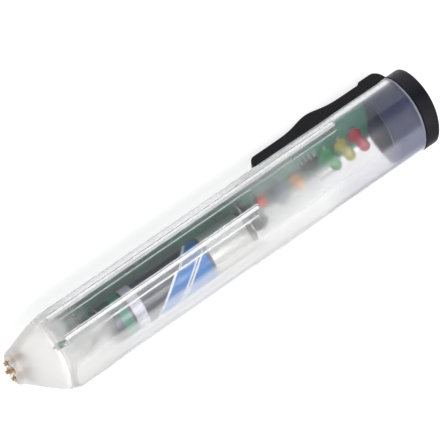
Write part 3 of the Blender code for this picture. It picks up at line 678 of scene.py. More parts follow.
def tube_outer_rings():
    """Outer cross-sections of the tube, from its softened rim to its rounded nose."""
    rim_radius = 0.25 * MM
    rings = []
    for step in range(4):
        angle = math.pi / 2 * step / 3
        inset = rim_radius * (1 - math.sin(angle))
        reach = rim_radius * (1 - math.cos(angle))
        rings.append(oval_ring(at(reach), HALF_WIDTH - inset, HALF_HEIGHT - inset))
    nose_start = TUBE_LENGTH - NOSE_LENGTH
    taper_length = NOSE_LENGTH - NOSE_EDGE_RADIUS
    taper_steps = 24
    for step in range(taper_steps + 1):
        share = step / taper_steps
        rings.append(oval_ring(at(nose_start + taper_length * share), *nose_section(share)))
    edge_steps = 8
    for step in range(1, edge_steps + 1):
        angle = math.pi / 2 * step / edge_steps
        reach = nose_start + taper_length + NOSE_EDGE_RADIUS * math.sin(angle)
        rings.append(oval_ring(at(reach), *nose_section(1, NOSE_EDGE_RADIUS * (1 - math.cos(angle)))))
    return rings


def tube_inner_rings():
    """Inner cross-sections: the long bore, a step, and a smaller pocket inside the nose."""
    pocket_end = BORE_END + NOSE_POCKET_DEPTH
    nose_start = TUBE_LENGTH - NOSE_LENGTH
    rings = [oval_ring(at(0), BORE_HALF_WIDTH, BORE_HALF_HEIGHT)]
    rings.append(oval_ring(at(nose_start), BORE_HALF_WIDTH, BORE_HALF_HEIGHT))
    walls = ((BORE_END, 1.2 * TUBE_WALL), (BORE_END, 2.2 * TUBE_WALL), (pocket_end, 2 * TUBE_WALL))
    for reach, wall in walls:
        share = (reach - nose_start) / (NOSE_LENGTH - NOSE_EDGE_RADIUS)
        rings.append(oval_ring(at(reach), *nose_section(share, wall)))
    return rings


def root_half_width(low_z, thickness):
    """Half the bore's width where a rib is narrowest."""
    lift = max(abs(low_z - AXIS_Z), abs(low_z + thickness - AXIS_Z))
    return oval_half_width(BORE_HALF_WIDTH, BORE_HALF_HEIGHT, lift)


def rib_outline(start, end, low_z, thickness):
    """Side view of a rib, with a round end towards the rim."""
    radius = thickness / 2
    outline = arc((at(start) + radius, low_z + radius), radius, 90, 270, 20)
    return outline + [(at(end), low_z), (at(end), low_z + thickness)]


def add_rib_pair(bm, start, low_z, thickness, inner_y):
    """A pair of side ribs, rooted in the wall."""
    outer_y = root_half_width(low_z, thickness) + RIB_ROOT
    outline = rib_outline(start, TUBE_LENGTH - NOSE_LENGTH, low_z, thickness)
    for side in (-1, 1):
        add_plate(bm, outline, "Y", side * inner_y, side * outer_y)


def add_rib_glow_lines(bm, start, rib_low, rib_thickness):
    """The painted highlight inside the top of each rib's root: a glowing milky strip, one plate a side."""
    margin = 0.08 * MM
    root_y = root_half_width(rib_low, rib_thickness)
    low_z = rib_low + rib_thickness - margin - RIB_GLOW_THICKNESS
    end = TUBE_LENGTH - NOSE_LENGTH - margin
    outline = rib_outline(start, end, low_z, RIB_GLOW_THICKNESS)
    for side in (-1, 1):
        add_plate(bm, outline, "Y", side * (root_y - 0.25 * MM), side * (root_y - 0.1 * MM))


def probe_places():
    """Y and Z of the four probes, from the frame."""
    places = []
    for number in range(1, 5):
        low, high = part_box("probe_barrel_%d" % number)
        places.append(((low.y + high.y) / 2, (low.z + high.z) / 2))
    return places


def tube_side(spot, rib_spans):
    """Which finish a face of the tube gets: 0 outside, 1 inside, 2 on a rib."""
    if spot.x > at(BORE_END) + 0.1 * MM:
        share = (spot.x - at(TUBE_LENGTH - NOSE_LENGTH)) / (NOSE_LENGTH - NOSE_EDGE_RADIUS)
        half_y, half_z, centre_z = nose_section(min(share, 1.0), 0.8 * TUBE_WALL)
    else:
        half_y, half_z, centre_z = BORE_HALF_WIDTH, BORE_HALF_HEIGHT, AXIS_Z
    lift = spot.z - centre_z
    within = abs(spot.y / half_y) ** OVAL_POWER + abs(lift / half_z) ** OVAL_POWER
    if within > 1.03 or spot.x < RIM_X + 0.3 * MM and within > 0.99:
        return 0
    for low, thickness in rib_spans:
        if low - 0.05 * MM < spot.z < low + thickness + 0.05 * MM and within < 0.97:
            return 2
    return 1


def make_tube(paint, inner_paint, rib_paint, glow_paint):
    """The clear tube: smooth walls, two pairs of ribs and the probe holes."""
    bm = bmesh.new()
    add_cup(bm, tube_outer_rings(), tube_inner_rings())
    tube = piece(bm, "tube", paint, None)
    board_rib_low = BOARD_FACE_Z + SEAT_GAP
    cell_rib_low = AXIS_Z + CELL_RIB_LIFT - CELL_RIB_THICKNESS / 2
    nearest = min(abs(cell_rib_low - CELL_AXIS_Z), abs(cell_rib_low + CELL_RIB_THICKNESS - CELL_AXIS_Z))
    cell_rib_inner = math.sqrt(CELL_RADIUS ** 2 - nearest ** 2) + CELL_RIB_GAP
    ribs = bmesh.new()
    add_rib_pair(ribs, BOARD_RIB_START, board_rib_low, BOARD_RIB_THICKNESS, BOARD_HIGH.y - 0.8 * MM)
    add_rib_pair(ribs, CELL_RIB_START, cell_rib_low, CELL_RIB_THICKNESS, cell_rib_inner)
    apply_boolean(tube, piece(ribs, "rib_tool", paint, None), "UNION")
    holes = bmesh.new()
    for y, z in probe_places():
        profile = [(at(BORE_END), PROBE_HOLE_RADIUS), (at(TUBE_LENGTH) + 2 * MM, PROBE_HOLE_RADIUS)]
        add_turned(holes, Vector((0, y, z)), "X", profile, sides=32)
    apply_boolean(tube, piece(holes, "hole_tool", paint, None), "DIFFERENCE")
    for more in (inner_paint, rib_paint):
        tube.data.materials.append(more)
    rib_spans = ((board_rib_low, BOARD_RIB_THICKNESS), (cell_rib_low, CELL_RIB_THICKNESS))
    for face in tube.data.polygons:
        face.material_index = tube_side(face.center, rib_spans)
    tube.data.shade_smooth()
    tube.data.set_sharp_from_angle(angle=math.radians(35))
    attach(tube, "tester_body")
    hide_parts("tube_shell")
    # Painted highlights: glowing white strips inside the ribs' roots.
    lines = bmesh.new()
    add_rib_glow_lines(lines, BOARD_RIB_GLOW_START, board_rib_low, BOARD_RIB_THICKNESS)
    add_rib_glow_lines(lines, CELL_RIB_GLOW_START, cell_rib_low, CELL_RIB_THICKNESS)
    piece(lines, "painted_rib_glow_lines", glow_paint)


# ---------------------------------------------------------------- cap and clip
def make_cap(paint):
    """The black plug cap: crowned ring with a soft edge, hollow skirt with a lead-in."""
    skirt_y = BORE_HALF_WIDTH - SKIRT_CLEARANCE
    skirt_z = BORE_HALF_HEIGHT - SKIRT_CLEARANCE
    skirt_end = CAP_HIGH.x
    ring_start = RIM_X - 0.2 * MM
    end_x = CAP_LOW.x
    lead_in = 0.4 * MM
    outer = [
        oval_ring(skirt_end, skirt_y - lead_in, skirt_z - lead_in),
        oval_ring(skirt_end - lead_in, skirt_y, skirt_z),
        oval_ring(ring_start, skirt_y, skirt_z),
        oval_ring(ring_start, HALF_WIDTH - 0.2 * MM, HALF_HEIGHT - 0.2 * MM),
        oval_ring(ring_start - 0.2 * MM, HALF_WIDTH, HALF_HEIGHT),
    ]
    edge_start = end_x + CAP_CROWN + CAP_EDGE_RADIUS - CAP_CROWN / 2
    edge_steps = 10
    for step in range(edge_steps + 1):
        angle = math.pi / 2 * step / edge_steps
        x = edge_start - (CAP_EDGE_RADIUS - CAP_CROWN / 2) * math.sin(angle)
        inset = CAP_EDGE_RADIUS * (1 - math.cos(angle))
        outer.append(oval_ring(x, HALF_WIDTH - inset, HALF_HEIGHT - inset))
    crown_steps = 8
    for step in range(1, crown_steps + 1):
        share = step / crown_steps
        x = end_x + CAP_CROWN * (1 - share) ** 2
        width_share = 1 - 0.55 * share
        crown_y = (HALF_WIDTH - CAP_EDGE_RADIUS) * width_share
        crown_z = (HALF_HEIGHT - CAP_EDGE_RADIUS) * width_share
        outer.append(oval_ring(x, crown_y, crown_z))
    floor_x = end_x + CAP_CROWN + CAP_END_WALL
    inner = [
        oval_ring(skirt_end, skirt_y - SKIRT_WALL, skirt_z - SKIRT_WALL),
        oval_ring(floor_x, skirt_y - SKIRT_WALL, skirt_z - SKIRT_WALL),
    ]
    bm = bmesh.new()
    add_cup(bm, outer, inner)
    piece(bm, "plug_cap", paint, "cap", ["end_cap"])


def clip_drop(reach):
    """How far the clip's outer face stands below the tube, at a place along it."""
    root_overlap, root_height, neck_height = 2.7 * MM, 4.1 * MM, 3.5 * MM
    if reach < 0:
        share = max(0.0, min(1.0, (reach + root_overlap) / root_overlap))
        return CLIP_GAP + (root_height - CLIP_GAP) * math.sqrt(share * (2 - share))
    hump = math.exp(-(((reach - 20.0 * MM) / (6.0 * MM)) ** 2) * 1.6)
    step = 1 / (1 + math.exp((reach - 3.9 * MM) / (0.12 * MM)))
    return neck_height + (4.9 * MM - neck_height) * hump + (root_height - neck_height) * step


def make_clip(paint):
    """The pocket clip: a lofted spring arm with a stepped root, a hump and a rounded tip."""
    base = TUBE_LOW.z
    length = CLIP_HIGH.x - CLIP_LOW.x
    half = (CLIP_HIGH.y - CLIP_LOW.y) / 2
    soft = 0.5 * MM
    steps = 130
    rings = []
    for step in range(steps + 1):
        share = step / steps
        reach = CLIP_LOW.x - RIM_X + length * (1 - (1 - share) ** 1.25)
        outer = clip_drop(reach)
        to_tip = CLIP_HIGH.x - RIM_X - reach
        tip = max(0.0, 1 - to_tip / (1.6 * MM))
        half_z = max((outer - CLIP_GAP) / 2 * math.sqrt(max(0.0, 1 - tip * tip)), 0.03 * MM)
        middle = -(outer + CLIP_GAP) / 2
        width = half * (1 - 0.12 * tip * tip)
        radius = min(soft, 0.8 * half_z)
        outline = []
        for quarter, (sign_y, sign_z) in enumerate(((1, 1), (-1, 1), (-1, -1), (1, -1))):
            centre = (sign_y * (width - radius), middle + sign_z * (half_z - radius))
            outline += arc(centre, radius, 90 * quarter, 90 * quarter + 90, 5)
        rings.append([Vector((at(reach), y, base + z)) for y, z in outline])
    bm = bmesh.new()
    skin(bm, rings)
    piece(bm, "clip_arm", paint, "clip", ["pocket_clip"], smooth_deg=50)


# ---------------------------------------------------------------- parts on the board
def add_lead(bm, x, y, top_z):
    """A lead from inside a part down through the board, with a concave solder cone on the back."""
    bottom = BOARD_BACK_Z - 0.1 * MM
    cone = []
    for step in range(6):
        share = step / 5
        cone.append((bottom - 0.5 * MM * share, LEAD_RADIUS + 0.6 * MM * (1 - share) ** 2))
    profile = [(top_z, LEAD_RADIUS), (bottom, LEAD_RADIUS)] + cone + [(bottom - 0.8 * MM, 0.8 * LEAD_RADIUS)]
    add_turned(bm, Vector((x, y, 0)), "Z", profile, sides=14)


def make_legs(node, places, top_z, wire):
    """Leads at X, Y places, as one piece."""
    legs = bmesh.new()
    for x, y in places:
        add_lead(legs, x, y, top_z)
    piece(legs, node + "_legs", wire)


def lead_pair(x):
    """X and Y of the two leads under a part."""
    return [(x, -LEAD_PITCH / 2), (x, LEAD_PITCH / 2)]


def middle_of(node):
    """Middle of a CAD node's box."""
    low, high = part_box(node)
    return (low + high) / 2


def make_lamp(node, lens, wire):
    """A 3 mm lamp: tinted lens with a flange, and two leads."""
    x = middle_of(node).x
    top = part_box(node)[1].z
    base = BOARD_FACE_Z + 0.8 * MM
    radius = 1.5 * MM
    flange = [(0, 1.75), (0.12, 1.9), (0.85, 1.9), (1.0, 1.8), (1.02, 1.5)]
    profile = [(base + lift * MM, wide * MM) for lift, wide in flange]
    steps = 12
    for step in range(steps):
        angle = math.pi / 2 * step / steps
        profile.append((top - radius + radius * math.sin(angle), radius * math.cos(angle)))
    profile.append((top, 0.05 * radius))
    bm = bmesh.new()
    add_turned(bm, Vector((x, 0, 0)), "Z", profile, sides=40)
    piece(bm, node + "_lens", lens, stands_for=[node])
    make_legs(node, lead_pair(x), base - 0.05 * MM, wire)


def make_dipped(node, paint, wire):
    """A dipped capacitor: a round body, slightly narrower below, on two leads."""
    low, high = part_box(node)
    centre = (low + high) / 2
    body_low = BOARD_FACE_Z + SEAT_GAP
    half_x = (high.x - low.x) / 2
    half_y = {"orange_capacitor": 2.1 * MM, "red_capacitor": 1.8 * MM}[node]
    half_z = (high.z - body_low) / 2
    bm = bmesh.new()
    made = bmesh.ops.create_uvsphere(bm, u_segments=40, v_segments=28, radius=1.0)
    for vert in made["verts"]:
        z = vert.co.z
        pinch = 1 - 0.10 * max(0.0, -z) ** 2
        vert.co = Vector((vert.co.x * half_x * pinch, vert.co.y * half_y, z * half_z))
        vert.co += Vector((centre.x, 0, body_low + half_z))
    piece(bm, node + "_body", paint, stands_for=[node])
    make_legs(node, lead_pair(centre.x), body_low + 0.5 * half_z, wire)


def make_box_capacitor(paint, wire):
    """The moulded box capacitor: a bevelled block on two leads."""
    low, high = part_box("box_capacitor")
    body_low = BOARD_FACE_Z + SEAT_GAP
    bm = bmesh.new()
    add_box(bm, (low.x, low.y, body_low), (high.x, high.y, high.z), bevel=0.35 * MM, segments=4)
    piece(bm, "box_capacitor_body", paint, stands_for=["box_capacitor"])
    make_legs("box_capacitor", lead_pair((low.x + high.x) / 2), body_low + 0.3 * MM, wire)


def make_transistor(paint, wire):
    """The three-legged transistor: half-round body with softened ends."""
    low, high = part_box("transistor")
    radius = TRANSISTOR_RADIUS
    x = low.x + radius
    y = (low.y + high.y) / 2
    base = BOARD_FACE_Z + 1.2 * MM
    rings = []
    for lift, inset in ((0, 0.15), (0.15, 0), (4.25, 0), (4.4, 0.15)):
        outline = arc((x, y), radius - inset * MM, 35, 325, 40)
        rings.append([Vector((px, py, base + lift * MM)) for px, py in outline])
    bm = bmesh.new()
    skin(bm, rings)
    piece(bm, "transistor_body", paint, stands_for=["transistor"])
    places = [(x, y + place * LEAD_PITCH / 2) for place in (-1, 0, 1)]
    make_legs("transistor", places, base + 0.2 * MM, wire)


def make_chip(paint, wire):
    """The controller chip: bevelled body with a pin-one dimple, and eight bent pins."""
    low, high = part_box("controller_chip")
    centre = (low + high) / 2
    half_width = 1.95 * MM
    base = BOARD_FACE_Z + SEAT_GAP
    bm = bmesh.new()
    add_box(bm, (low.x, -half_width, base), (high.x, half_width, high.z), bevel=0.22 * MM)
    chip = piece(bm, "chip_body", paint, None)
    dimple = bmesh.new()
    spot = Vector((high.x - 0.9 * MM, 1.1 * MM, 0))
    add_turned(dimple, spot, "Z", [(high.z - 0.12 * MM, 0.35 * MM), (high.z + MM, 0.35 * MM)], 24)
    apply_boolean(chip, piece(dimple, "dimple_tool", paint, None), "DIFFERENCE")
    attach(chip, "tester_body")
    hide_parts("controller_chip")
    sheet = 0.2 * MM
    foot_z = BOARD_FACE_Z + 0.1 * MM
    knee_z = base + 0.75 * MM
    knee = half_width + 0.5 * MM
    toe = knee + 0.6 * MM
    outline = [
        (half_width - 0.1 * MM, knee_z),
        (knee - 0.1 * MM, knee_z),
        (knee, knee_z - 0.1 * MM),
        (knee, foot_z + sheet),
        (toe, foot_z + sheet),
        (toe, foot_z),
        (knee - sheet, foot_z),
        (knee - sheet, knee_z - sheet),
        (half_width - 0.1 * MM, knee_z - sheet),
    ]
    pins = bmesh.new()
    for place in range(4):
        x = centre.x + (place - 1.5) * LEAD_PITCH / 2
        for side in (-1, 1):
            add_plate(pins, [(side * y, z) for y, z in outline], "X", x - sheet, x + sheet)
    piece(pins, "chip_pins", wire)


def make_axial(node, paint, wire):
    """A resistor or diode: waisted body along the board's edge, leads bent down at both ends."""
    low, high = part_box(node)
    centre = (low + high) / 2
    radius = 0.85 * MM
    body_half = 1.7 * MM
    y = centre.y
    height = BOARD_FACE_Z + SEAT_GAP + radius
    bm = bmesh.new()
    profile = []
    steps = 28
    for step in range(steps + 1):
        along = -1 + 2 * step / steps
        end = math.sqrt(max(0.0, 1 - abs(along) ** 7))
        waist = 0.88 + 0.12 * math.exp(-(((abs(along) - 0.72) / 0.2) ** 2))
        profile.append((centre.x + body_half * along, radius * max(0.3, waist * end)))
    add_turned(bm, Vector((0, y, height)), "X", profile, sides=24)
    piece(bm, node + "_body", paint, stands_for=[node])
    legs = bmesh.new()
    for end in (-1, 1):
        corner = centre.x + end * LEAD_HALF_SPREAD
        bend = 0.5 * MM
        points = [Vector((centre.x + end * (body_half - 0.05 * MM), y, height))]
        for step in range(7):
            angle = math.pi / 2 * step / 6
            drop = bend * (1 - math.cos(angle))
            points.append(Vector((corner - end * bend * (1 - math.sin(angle)), y, height - drop)))
        points.append(Vector((corner, y, BOARD_BACK_Z - 0.5 * MM)))
        add_wire(legs, points, LEAD_RADIUS)
        cone = [(BOARD_BACK_Z - 0.1 * MM, 0.85 * MM), (BOARD_BACK_Z - 0.3 * MM, 0.5 * MM)]
        cone += [(BOARD_BACK_Z - 0.6 * MM, 0.3 * MM)]
        add_turned(legs, Vector((corner, y, 0)), "Z", cone, sides=14)
    piece(legs, node + "_legs", wire)


def banded_paint(name, node, base_dark, base_light, bands):
    """Resistor or diode lacquer with rings of colour along its body."""
    paint = Paint(name)
    middle = middle_of(node).x
    place = paint.math("MULTIPLY", paint.past((1, 0, 0), middle), 1 / MM)
    tone = paint.noise(700)
    colour = paint.ramp(tone, [(NOISE_LOW, base_dark), (NOISE_HIGH, base_light)])
    for spot, width, ring in bands:
        off = paint.math("ABSOLUTE", paint.math("SUBTRACT", place, spot))
        colour = paint.mix(paint.math("LESS_THAN", off, width / 2), colour, ring)
    paint.colour(colour)
    paint.vary_rough(tone, 0.26, 0.36)
    paint.bump(paint.noise(1500, detail=2.0), strength=0.1, distance=0.00004)
    paint.set(Coat_Weight=0.4, Coat_Roughness=0.12)
    return paint.material


# ---------------------------------------------------------------- cell, contacts, probes
def make_cell(paint, steel):
    """The cell: sleeve with rolled ends, a bare shoulder and the raised terminal."""
    centre = Vector((0, 0, CELL_AXIS_Z))
    start = CELL_LOW.x
    end = CELL_HIGH.x
    sleeve_start = start + 1.1 * MM
    sleeve_end = end - 0.35 * MM
    # Rolled ends, in mm: past the sleeve's start or end, and in from the cell's radius.
    start_roll = [(0.15, 1.0), (0, 0.75), (0.05, 0.35), (0.25, 0.08), (0.55, 0)]
    end_roll = [(-0.5, 0), (-0.2, 0.08), (-0.02, 0.35), (0, 0.7), (-0.1, 0.95)]
    profile = [(sleeve_start + past * MM, CELL_RADIUS - inset * MM) for past, inset in start_roll]
    profile += [(sleeve_end + past * MM, CELL_RADIUS - inset * MM) for past, inset in end_roll]
    bm = bmesh.new()
    add_turned(bm, centre, "X", profile, sides=96)
    piece(bm, "cell_sleeve_body", paint, stands_for=["battery_cell"])
    ends = bmesh.new()
    nub = [(0, 1.5), (0.12, 1.8), (0.3, 1.9), (0.95, 1.9), (1.05, 2.3), (1.1, 3.9), (1.35, 4.2)]
    add_turned(ends, centre, "X", [(start + past * MM, radius * MM) for past, radius in nub], sides=64)
    base = [
        (end - 0.5 * MM, CELL_RADIUS - 0.98 * MM),
        (end - 0.1 * MM, CELL_RADIUS - 1.0 * MM),
        (end, CELL_RADIUS - 1.25 * MM),
        (end, 2.4 * MM),
        (end - 0.15 * MM, 2.2 * MM),
        (end - 0.15 * MM, 0.2 * MM),
    ]
    add_turned(ends, centre, "X", base, sides=64)
    piece(ends, "cell_terminals", steel)


def make_spring(paint):
    """The cone spring, its middle turns a little closer together."""
    wire = 0.3 * MM
    turns = 4.5
    start = SPRING_LOW.x + wire
    length = SPRING_HIGH.x - SPRING_LOW.x - 2 * wire
    points = []
    count = int(turns * 40)
    for index in range(count + 1):
        share = index / count
        rise = share + 0.05 * math.sin(2 * math.pi * share)
        angle = 2 * math.pi * turns * share
        radius = 2.2 * MM + 1.3 * MM * share
        y = radius * math.cos(angle)
        z = CELL_AXIS_Z - 1.0 * MM + radius * math.sin(angle)
        points.append(Vector((start + length * rise, y, z)))
    bm = bmesh.new()
    add_wire(bm, points, wire, sides=12)
    piece(bm, "cone_spring", paint, stands_for=["battery_spring"])


def turned_rings(axis, profile, sides):
    """Circles about a line along X: the profile lists (world X, radius)."""
    return [round_ring(axis + Vector((x, 0, 0)), "X", radius, sides) for x, radius in profile]


def make_probe(number, gold, brass):
    """One probe: a rolled barrel and a plunger with a four-point crown."""
    sides = 32
    low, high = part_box("probe_barrel_%d" % number)
    y, z = (low.y + high.y) / 2, (low.z + high.z) / 2
    axis = Vector((0, y, z))
    outer = [(high.x, 0.78 * MM), (high.x - 0.12 * MM, 0.9 * MM)]
    outer += [(low.x + 0.2 * MM, 0.9 * MM), (low.x, 0.7 * MM)]
    inner = [(high.x, 0.64 * MM), (high.x - 0.1 * MM, 0.6 * MM), (high.x - 7.0 * MM, 0.6 * MM)]
    bm = bmesh.new()
    add_cup(bm, turned_rings(axis, outer, sides), turned_rings(axis, inner, sides))
    piece(bm, "barrel_%d" % number, brass, stands_for=["probe_barrel_%d" % number])
    back, tip = (corner.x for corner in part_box("probe_plunger_%d" % number))
    shaft = 0.5 * MM
    body = [(back, 0.4 * MM), (back + 0.1 * MM, shaft), (tip - 0.45 * MM, shaft)]
    rings = turned_rings(axis, body, sides)
    for inset in (0.0, 0.55, 0.9):
        ring = []
        for step in range(sides):
            angle = 2 * math.pi * step / sides
            notch = 0.5 - 0.5 * math.cos(4 * angle)
            depth = (0.03 + 0.34 * notch) * MM if inset < 0.9 else 0.36 * MM
            radius = shaft * (1 - inset) * 0.96
            ring.append(axis + Vector((tip - depth, radius * math.cos(angle), radius * math.sin(angle))))
        rings.append(ring)
    plunger = bmesh.new()
    skin(plunger, rings)
    stands_for = ["probe_plunger_%d" % number]
    piece(plunger, "plunger_%d" % number, gold, "probe_%d" % number, stands_for)


# ---------------------------------------------------------------- board detail
def lead_places():
    """X and Y of every lead that goes through the board."""
    places = []
    for node in ("led_red", "led_yellow", "led_green", "orange_capacitor", "red_capacitor", "box_capacitor"):
        places += lead_pair(middle_of(node).x)
    low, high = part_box("transistor")
    x = low.x + TRANSISTOR_RADIUS
    y = (low.y + high.y) / 2
    places += [(x, y + place * LEAD_PITCH / 2) for place in (-1, 0, 1)]
    for node in AXIAL_NODES:
        centre = middle_of(node)
        places += [(centre.x - LEAD_HALF_SPREAD, centre.y), (centre.x + LEAD_HALF_SPREAD, centre.y)]
    return places


def make_hole_rings(tin):
    """Flat metal rings round the holes."""
    sides = 20
    levels = (BOARD_FACE_Z - 0.05 * MM, BOARD_FACE_Z + 0.035 * MM)
    rings = bmesh.new()
    for x, y in lead_places():
        grids = []
        for radius in (0.8 * MM, 0.5 * MM):
            walls = [round_ring(Vector((x, y, 0)) + Vector((0, 0, z)), "Z", radius, sides) for z in levels]
            grids.append(skin(rings, walls, cap_first=False, cap_last=False))
        outer, inner = grids
        for out, inn in zip(outer, inner):
            for index in range(sides):
                after = (index + 1) % sides
                rings.faces.new((out[index], out[after], inn[after], inn[index]))
    piece(rings, "hole_rings", tin)


def make_tracks(track):
    """Tracks under the mask, from hole to hole where there is room for a straight and a slanted run."""
    half_width = 0.28 * MM
    ring_edge = 0.78 * MM
    straight = 0.85 * MM
    tracks = bmesh.new()
    ordered = sorted(lead_places())
    for (x0, y0), (x1, y1) in zip(ordered, ordered[1:]):
        if x1 - x0 < 2.0 * MM or abs(y1 - y0) > x1 - x0 - 2 * straight:
            continue
        route = [
            Vector((x0 + ring_edge, y0, 0)),
            Vector((x0 + straight, y0, 0)),
            Vector((x0 + straight + abs(y1 - y0), y1, 0)),
            Vector((x1 - ring_edge, y1, 0)),
        ]
        left = []
        right = []
        for place, point in enumerate(route):
            before = route[max(place - 1, 0)]
            after = route[min(place + 1, len(route) - 1)]
            heading = (after - before).normalized()
            side = Vector((-heading.y, heading.x, 0)) * half_width
            left.append((point + side).xy[:])
            right.append((point - side).xy[:])
        add_plate(tracks, left + right[::-1], "Z", BOARD_FACE_Z - 0.02 * MM, BOARD_FACE_Z + 0.02 * MM)
    piece(tracks, "board_tracks", track, smooth_deg=20)


def make_board_print(ink):
    """Plain printed outlines round the capacitors and the chip."""
    line = 0.15 * MM
    margin = 0.4 * MM
    least_half_width = 2.2 * MM
    outlines = bmesh.new()
    for node in ("orange_capacitor", "red_capacitor", "box_capacitor", "controller_chip"):
        low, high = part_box(node)
        low_y, high_y = min(low.y, -least_half_width) - margin, max(high.y, least_half_width) + margin
        low_x, high_x = low.x - margin, high.x + margin
        for box_low, box_high in (
            ((low_x, low_y), (high_x, low_y + line)),
            ((low_x, high_y - line), (high_x, high_y)),
            ((low_x, low_y + line), (low_x + line, high_y - line)),
            ((high_x - line, low_y + line), (high_x, high_y - line)),
        ):
            low_corner = (*box_low, BOARD_FACE_Z - 0.02 * MM)
            high_corner = (*box_high, BOARD_FACE_Z + 0.03 * MM)
            add_box(outlines, low_corner, high_corner)
    piece(outlines, "board_print", ink)


# ---------------------------------------------------------------- camera, light, floor
def make_camera():
    """A long lens at the photograph's angle: the nose near and low, the cap up and far."""
    cap_way = Vector((-math.cos(TILT), -math.sin(TILT) * math.cos(ROLL), math.sin(TILT) * math.sin(ROLL)))
    down_way = Vector((0, math.sin(ROLL), math.cos(ROLL)))
    towards = Vector((math.sin(TILT), -math.cos(TILT) * math.cos(ROLL), math.cos(TILT) * math.sin(ROLL)))
    right = math.cos(AIM_ANGLE) * cap_way + math.sin(AIM_ANGLE) * down_way
    up = math.sin(AIM_ANGLE) * cap_way - math.cos(AIM_ANGLE) * down_way
    aim = Vector((AIM_X, 0, AXIS_Z)) - AIM_LIFT * down_way - AIM_LEFT * right
    data = bpy.data.cameras.new("camera")
    data.sensor_width = 36.0
    data.lens = data.sensor_width * CAMERA_DISTANCE / FRAME_WIDTH
    data.clip_start = 0.05
    data.clip_end = 20.0
    camera = bpy.data.objects.new("camera", data)
    place = Matrix((right, up, towards)).transposed().to_4x4()
    place.translation = aim + towards * CAMERA_DISTANCE
    camera.matrix_world = place
    bpy.context.scene.collection.objects.link(camera)
    bpy.context.scene.camera = camera


def make_area(name, place, aim, size, power):
    """A soft box light."""
    data = bpy.data.lights.new(name, "AREA")
    data.shape = "RECTANGLE"
    data.size, data.size_y = size
    data.energy = power
    light = bpy.data.objects.new(name, data)
    light.location = place
    light.visible_glossy = False
    light.rotation_mode = "QUATERNION"
    light.rotation_quaternion = (Vector(aim) - Vector(place)).to_track_quat("-Z", "Y")
    bpy.context.scene.collection.objects.link(light)


def make_studio():
    """White floor, bright even surroundings and two soft boxes."""
    bm = bmesh.new()
    reach = 3.0
    corners = [(-reach, -reach, 0), (reach, -reach, 0), (reach, reach, 0), (-reach, reach, 0)]
    bm.faces.new([bm.verts.new(corner) for corner in corners])
    floor = piece(bm, "floor", floor_paint(), None)
    floor.location.z = CAD_LOW.z - 0.1 * MM
    world = bpy.data.worlds.new("studio")
    world.use_nodes = True
    nodes, links = world.node_tree.nodes, world.node_tree.links
    background = nodes["Background"]
    place = nodes.new("ShaderNodeTexCoord")
    split = nodes.new("ShaderNodeSeparateXYZ")
    ramp = nodes.new("ShaderNodeValToRGB")
    links.new(place.outputs["Generated"], split.inputs["Vector"])
    links.new(split.outputs["Z"], ramp.inputs["Fac"])
    ramp.color_ramp.elements[0].position = 0.5
    ramp.color_ramp.elements[0].color = (0.30, 0.31, 0.34, 1.0)
    ramp.color_ramp.elements[1].position = 0.85
    ramp.color_ramp.elements[1].color = (1.4, 1.4, 1.4, 1.0)
    links.new(ramp.outputs["Color"], background.inputs["Color"])
    background.inputs["Strength"].default_value = 1.0
    bpy.context.scene.world = world
    make_area("key_box", (0.1, -0.5, 0.75), (0, 0, 0.01), (0.5, 0.5), 9.0)
    make_area("fill_box", (-0.55, 0.35, 0.5), (0, 0, 0.01), (0.4, 0.4), 3.0)
    bpy.context.scene.view_settings.view_transform = "Standard"
    bpy.context.scene.view_settings.look = "None"


# ---------------------------------------------------------------- whole scene
def make_tube_and_cap():
    """The tube, its glowing rib strips (painted highlights), the cap and the clip."""
    # The tint values are painted shade over the cap's skirt.
    outer = tube_paint("tube_outside", OUTER_ROUGHNESS, OUTER_MILK, crown_milk=0.4, tint=(176, 178, 198))
    inner = tube_paint("tube_inside", INNER_ROUGHNESS, INNER_MILK, INNER_MILK_BELOW)
    rib = tube_paint("tube_ribs", RIB_ROUGHNESS, RIB_MILK, at_wall=True)
    make_tube(outer, inner, rib, rib_glow_paint())
    make_cap(black_plastic_paint("cap_black"))
    make_clip(black_plastic_paint("clip_black", 0.8))


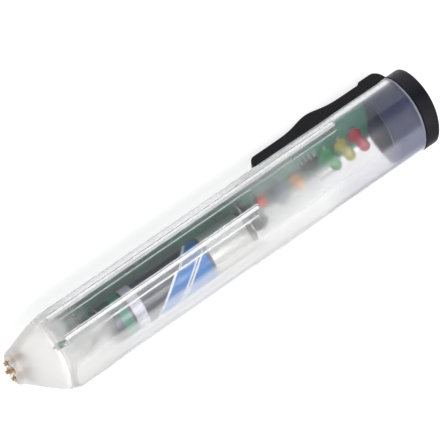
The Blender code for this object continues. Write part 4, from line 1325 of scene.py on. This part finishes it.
def make_board_parts(tin):
    """Everything that stands on the board."""
    make_lamp("led_red", lens_paint("red_lens", srgb(238, 34, 76), srgb(250, 76, 104)), tin)
    make_lamp("led_yellow", lens_paint("yellow_lens", srgb(236, 220, 100), srgb(248, 238, 140)), tin)
    make_lamp("led_green", lens_paint("green_lens", srgb(50, 182, 96), srgb(110, 220, 140)), tin)
    make_dipped("orange_capacitor", epoxy_paint("orange_epoxy", srgb(250, 146, 24), srgb(255, 168, 50)), tin)
    make_dipped("red_capacitor", epoxy_paint("red_epoxy", srgb(232, 52, 24), srgb(244, 78, 44)), tin)
    make_box_capacitor(epoxy_paint("blue_epoxy", srgb(88, 104, 128), srgb(108, 124, 146)), tin)
    moulding = epoxy_paint("chip_black", srgb(30, 30, 32), srgb(46, 46, 48), roughness=0.45, coat=0.1)
    make_transistor(moulding, tin)
    make_chip(moulding, tin)
    # Rings of colour: place from the middle in mm, width in mm, colour.
    resistor_rings = [
        (-1.2, 0.3, srgb(120, 60, 24)),
        (-0.55, 0.3, srgb(20, 20, 20)),
        (0.1, 0.3, srgb(190, 40, 30)),
        (1.2, 0.25, srgb(190, 150, 60)),
    ]
    diode_rings = [(1.05, 0.45, srgb(18, 18, 18))]
    beige = (srgb(206, 176, 130), srgb(222, 196, 152))
    amber = (srgb(186, 92, 44), srgb(206, 116, 62))
    for node in AXIAL_NODES:
        if node.startswith("resistor"):
            paint = banded_paint("resistor_beige_" + node[-1], node, *beige, resistor_rings)
        else:
            paint = banded_paint("diode_glass_" + node[-1], node, *amber, diode_rings)
        make_axial(node, paint, tin)


def main():
    """Makes every visible piece, the studio and the camera."""
    make_camera()
    make_studio()
    tin = metal_paint("tinned_wire", srgb(176, 176, 174), srgb(214, 213, 208), 0.2, 0.36)
    steel = metal_paint("nickel_steel", srgb(168, 167, 162), srgb(206, 204, 198), 0.16, 0.3)
    gold = metal_paint("gold_plate", srgb(168, 136, 92), srgb(206, 176, 128), 0.2, 0.36)
    brass = metal_paint("brass_barrel", srgb(158, 116, 64), srgb(196, 156, 92), 0.24, 0.42)
    make_tube_and_cap()
    make_board_parts(tin)
    make_cell(cell_paint(), steel)
    make_spring(steel)
    repaint("positive_contact", steel)
    repaint("negative_contact", steel)
    repaint("circuit_board", board_paint())
    make_hole_rings(tin)
    make_tracks(track_paint())
    ink = epoxy_paint("board_ink", srgb(216, 218, 212), srgb(230, 230, 226), roughness=0.5, coat=0.0)
    make_board_print(ink)
    for number in range(1, 5):
        make_probe(number, gold, brass)
        repaint("probe_lead_%d" % number, tin)


main()
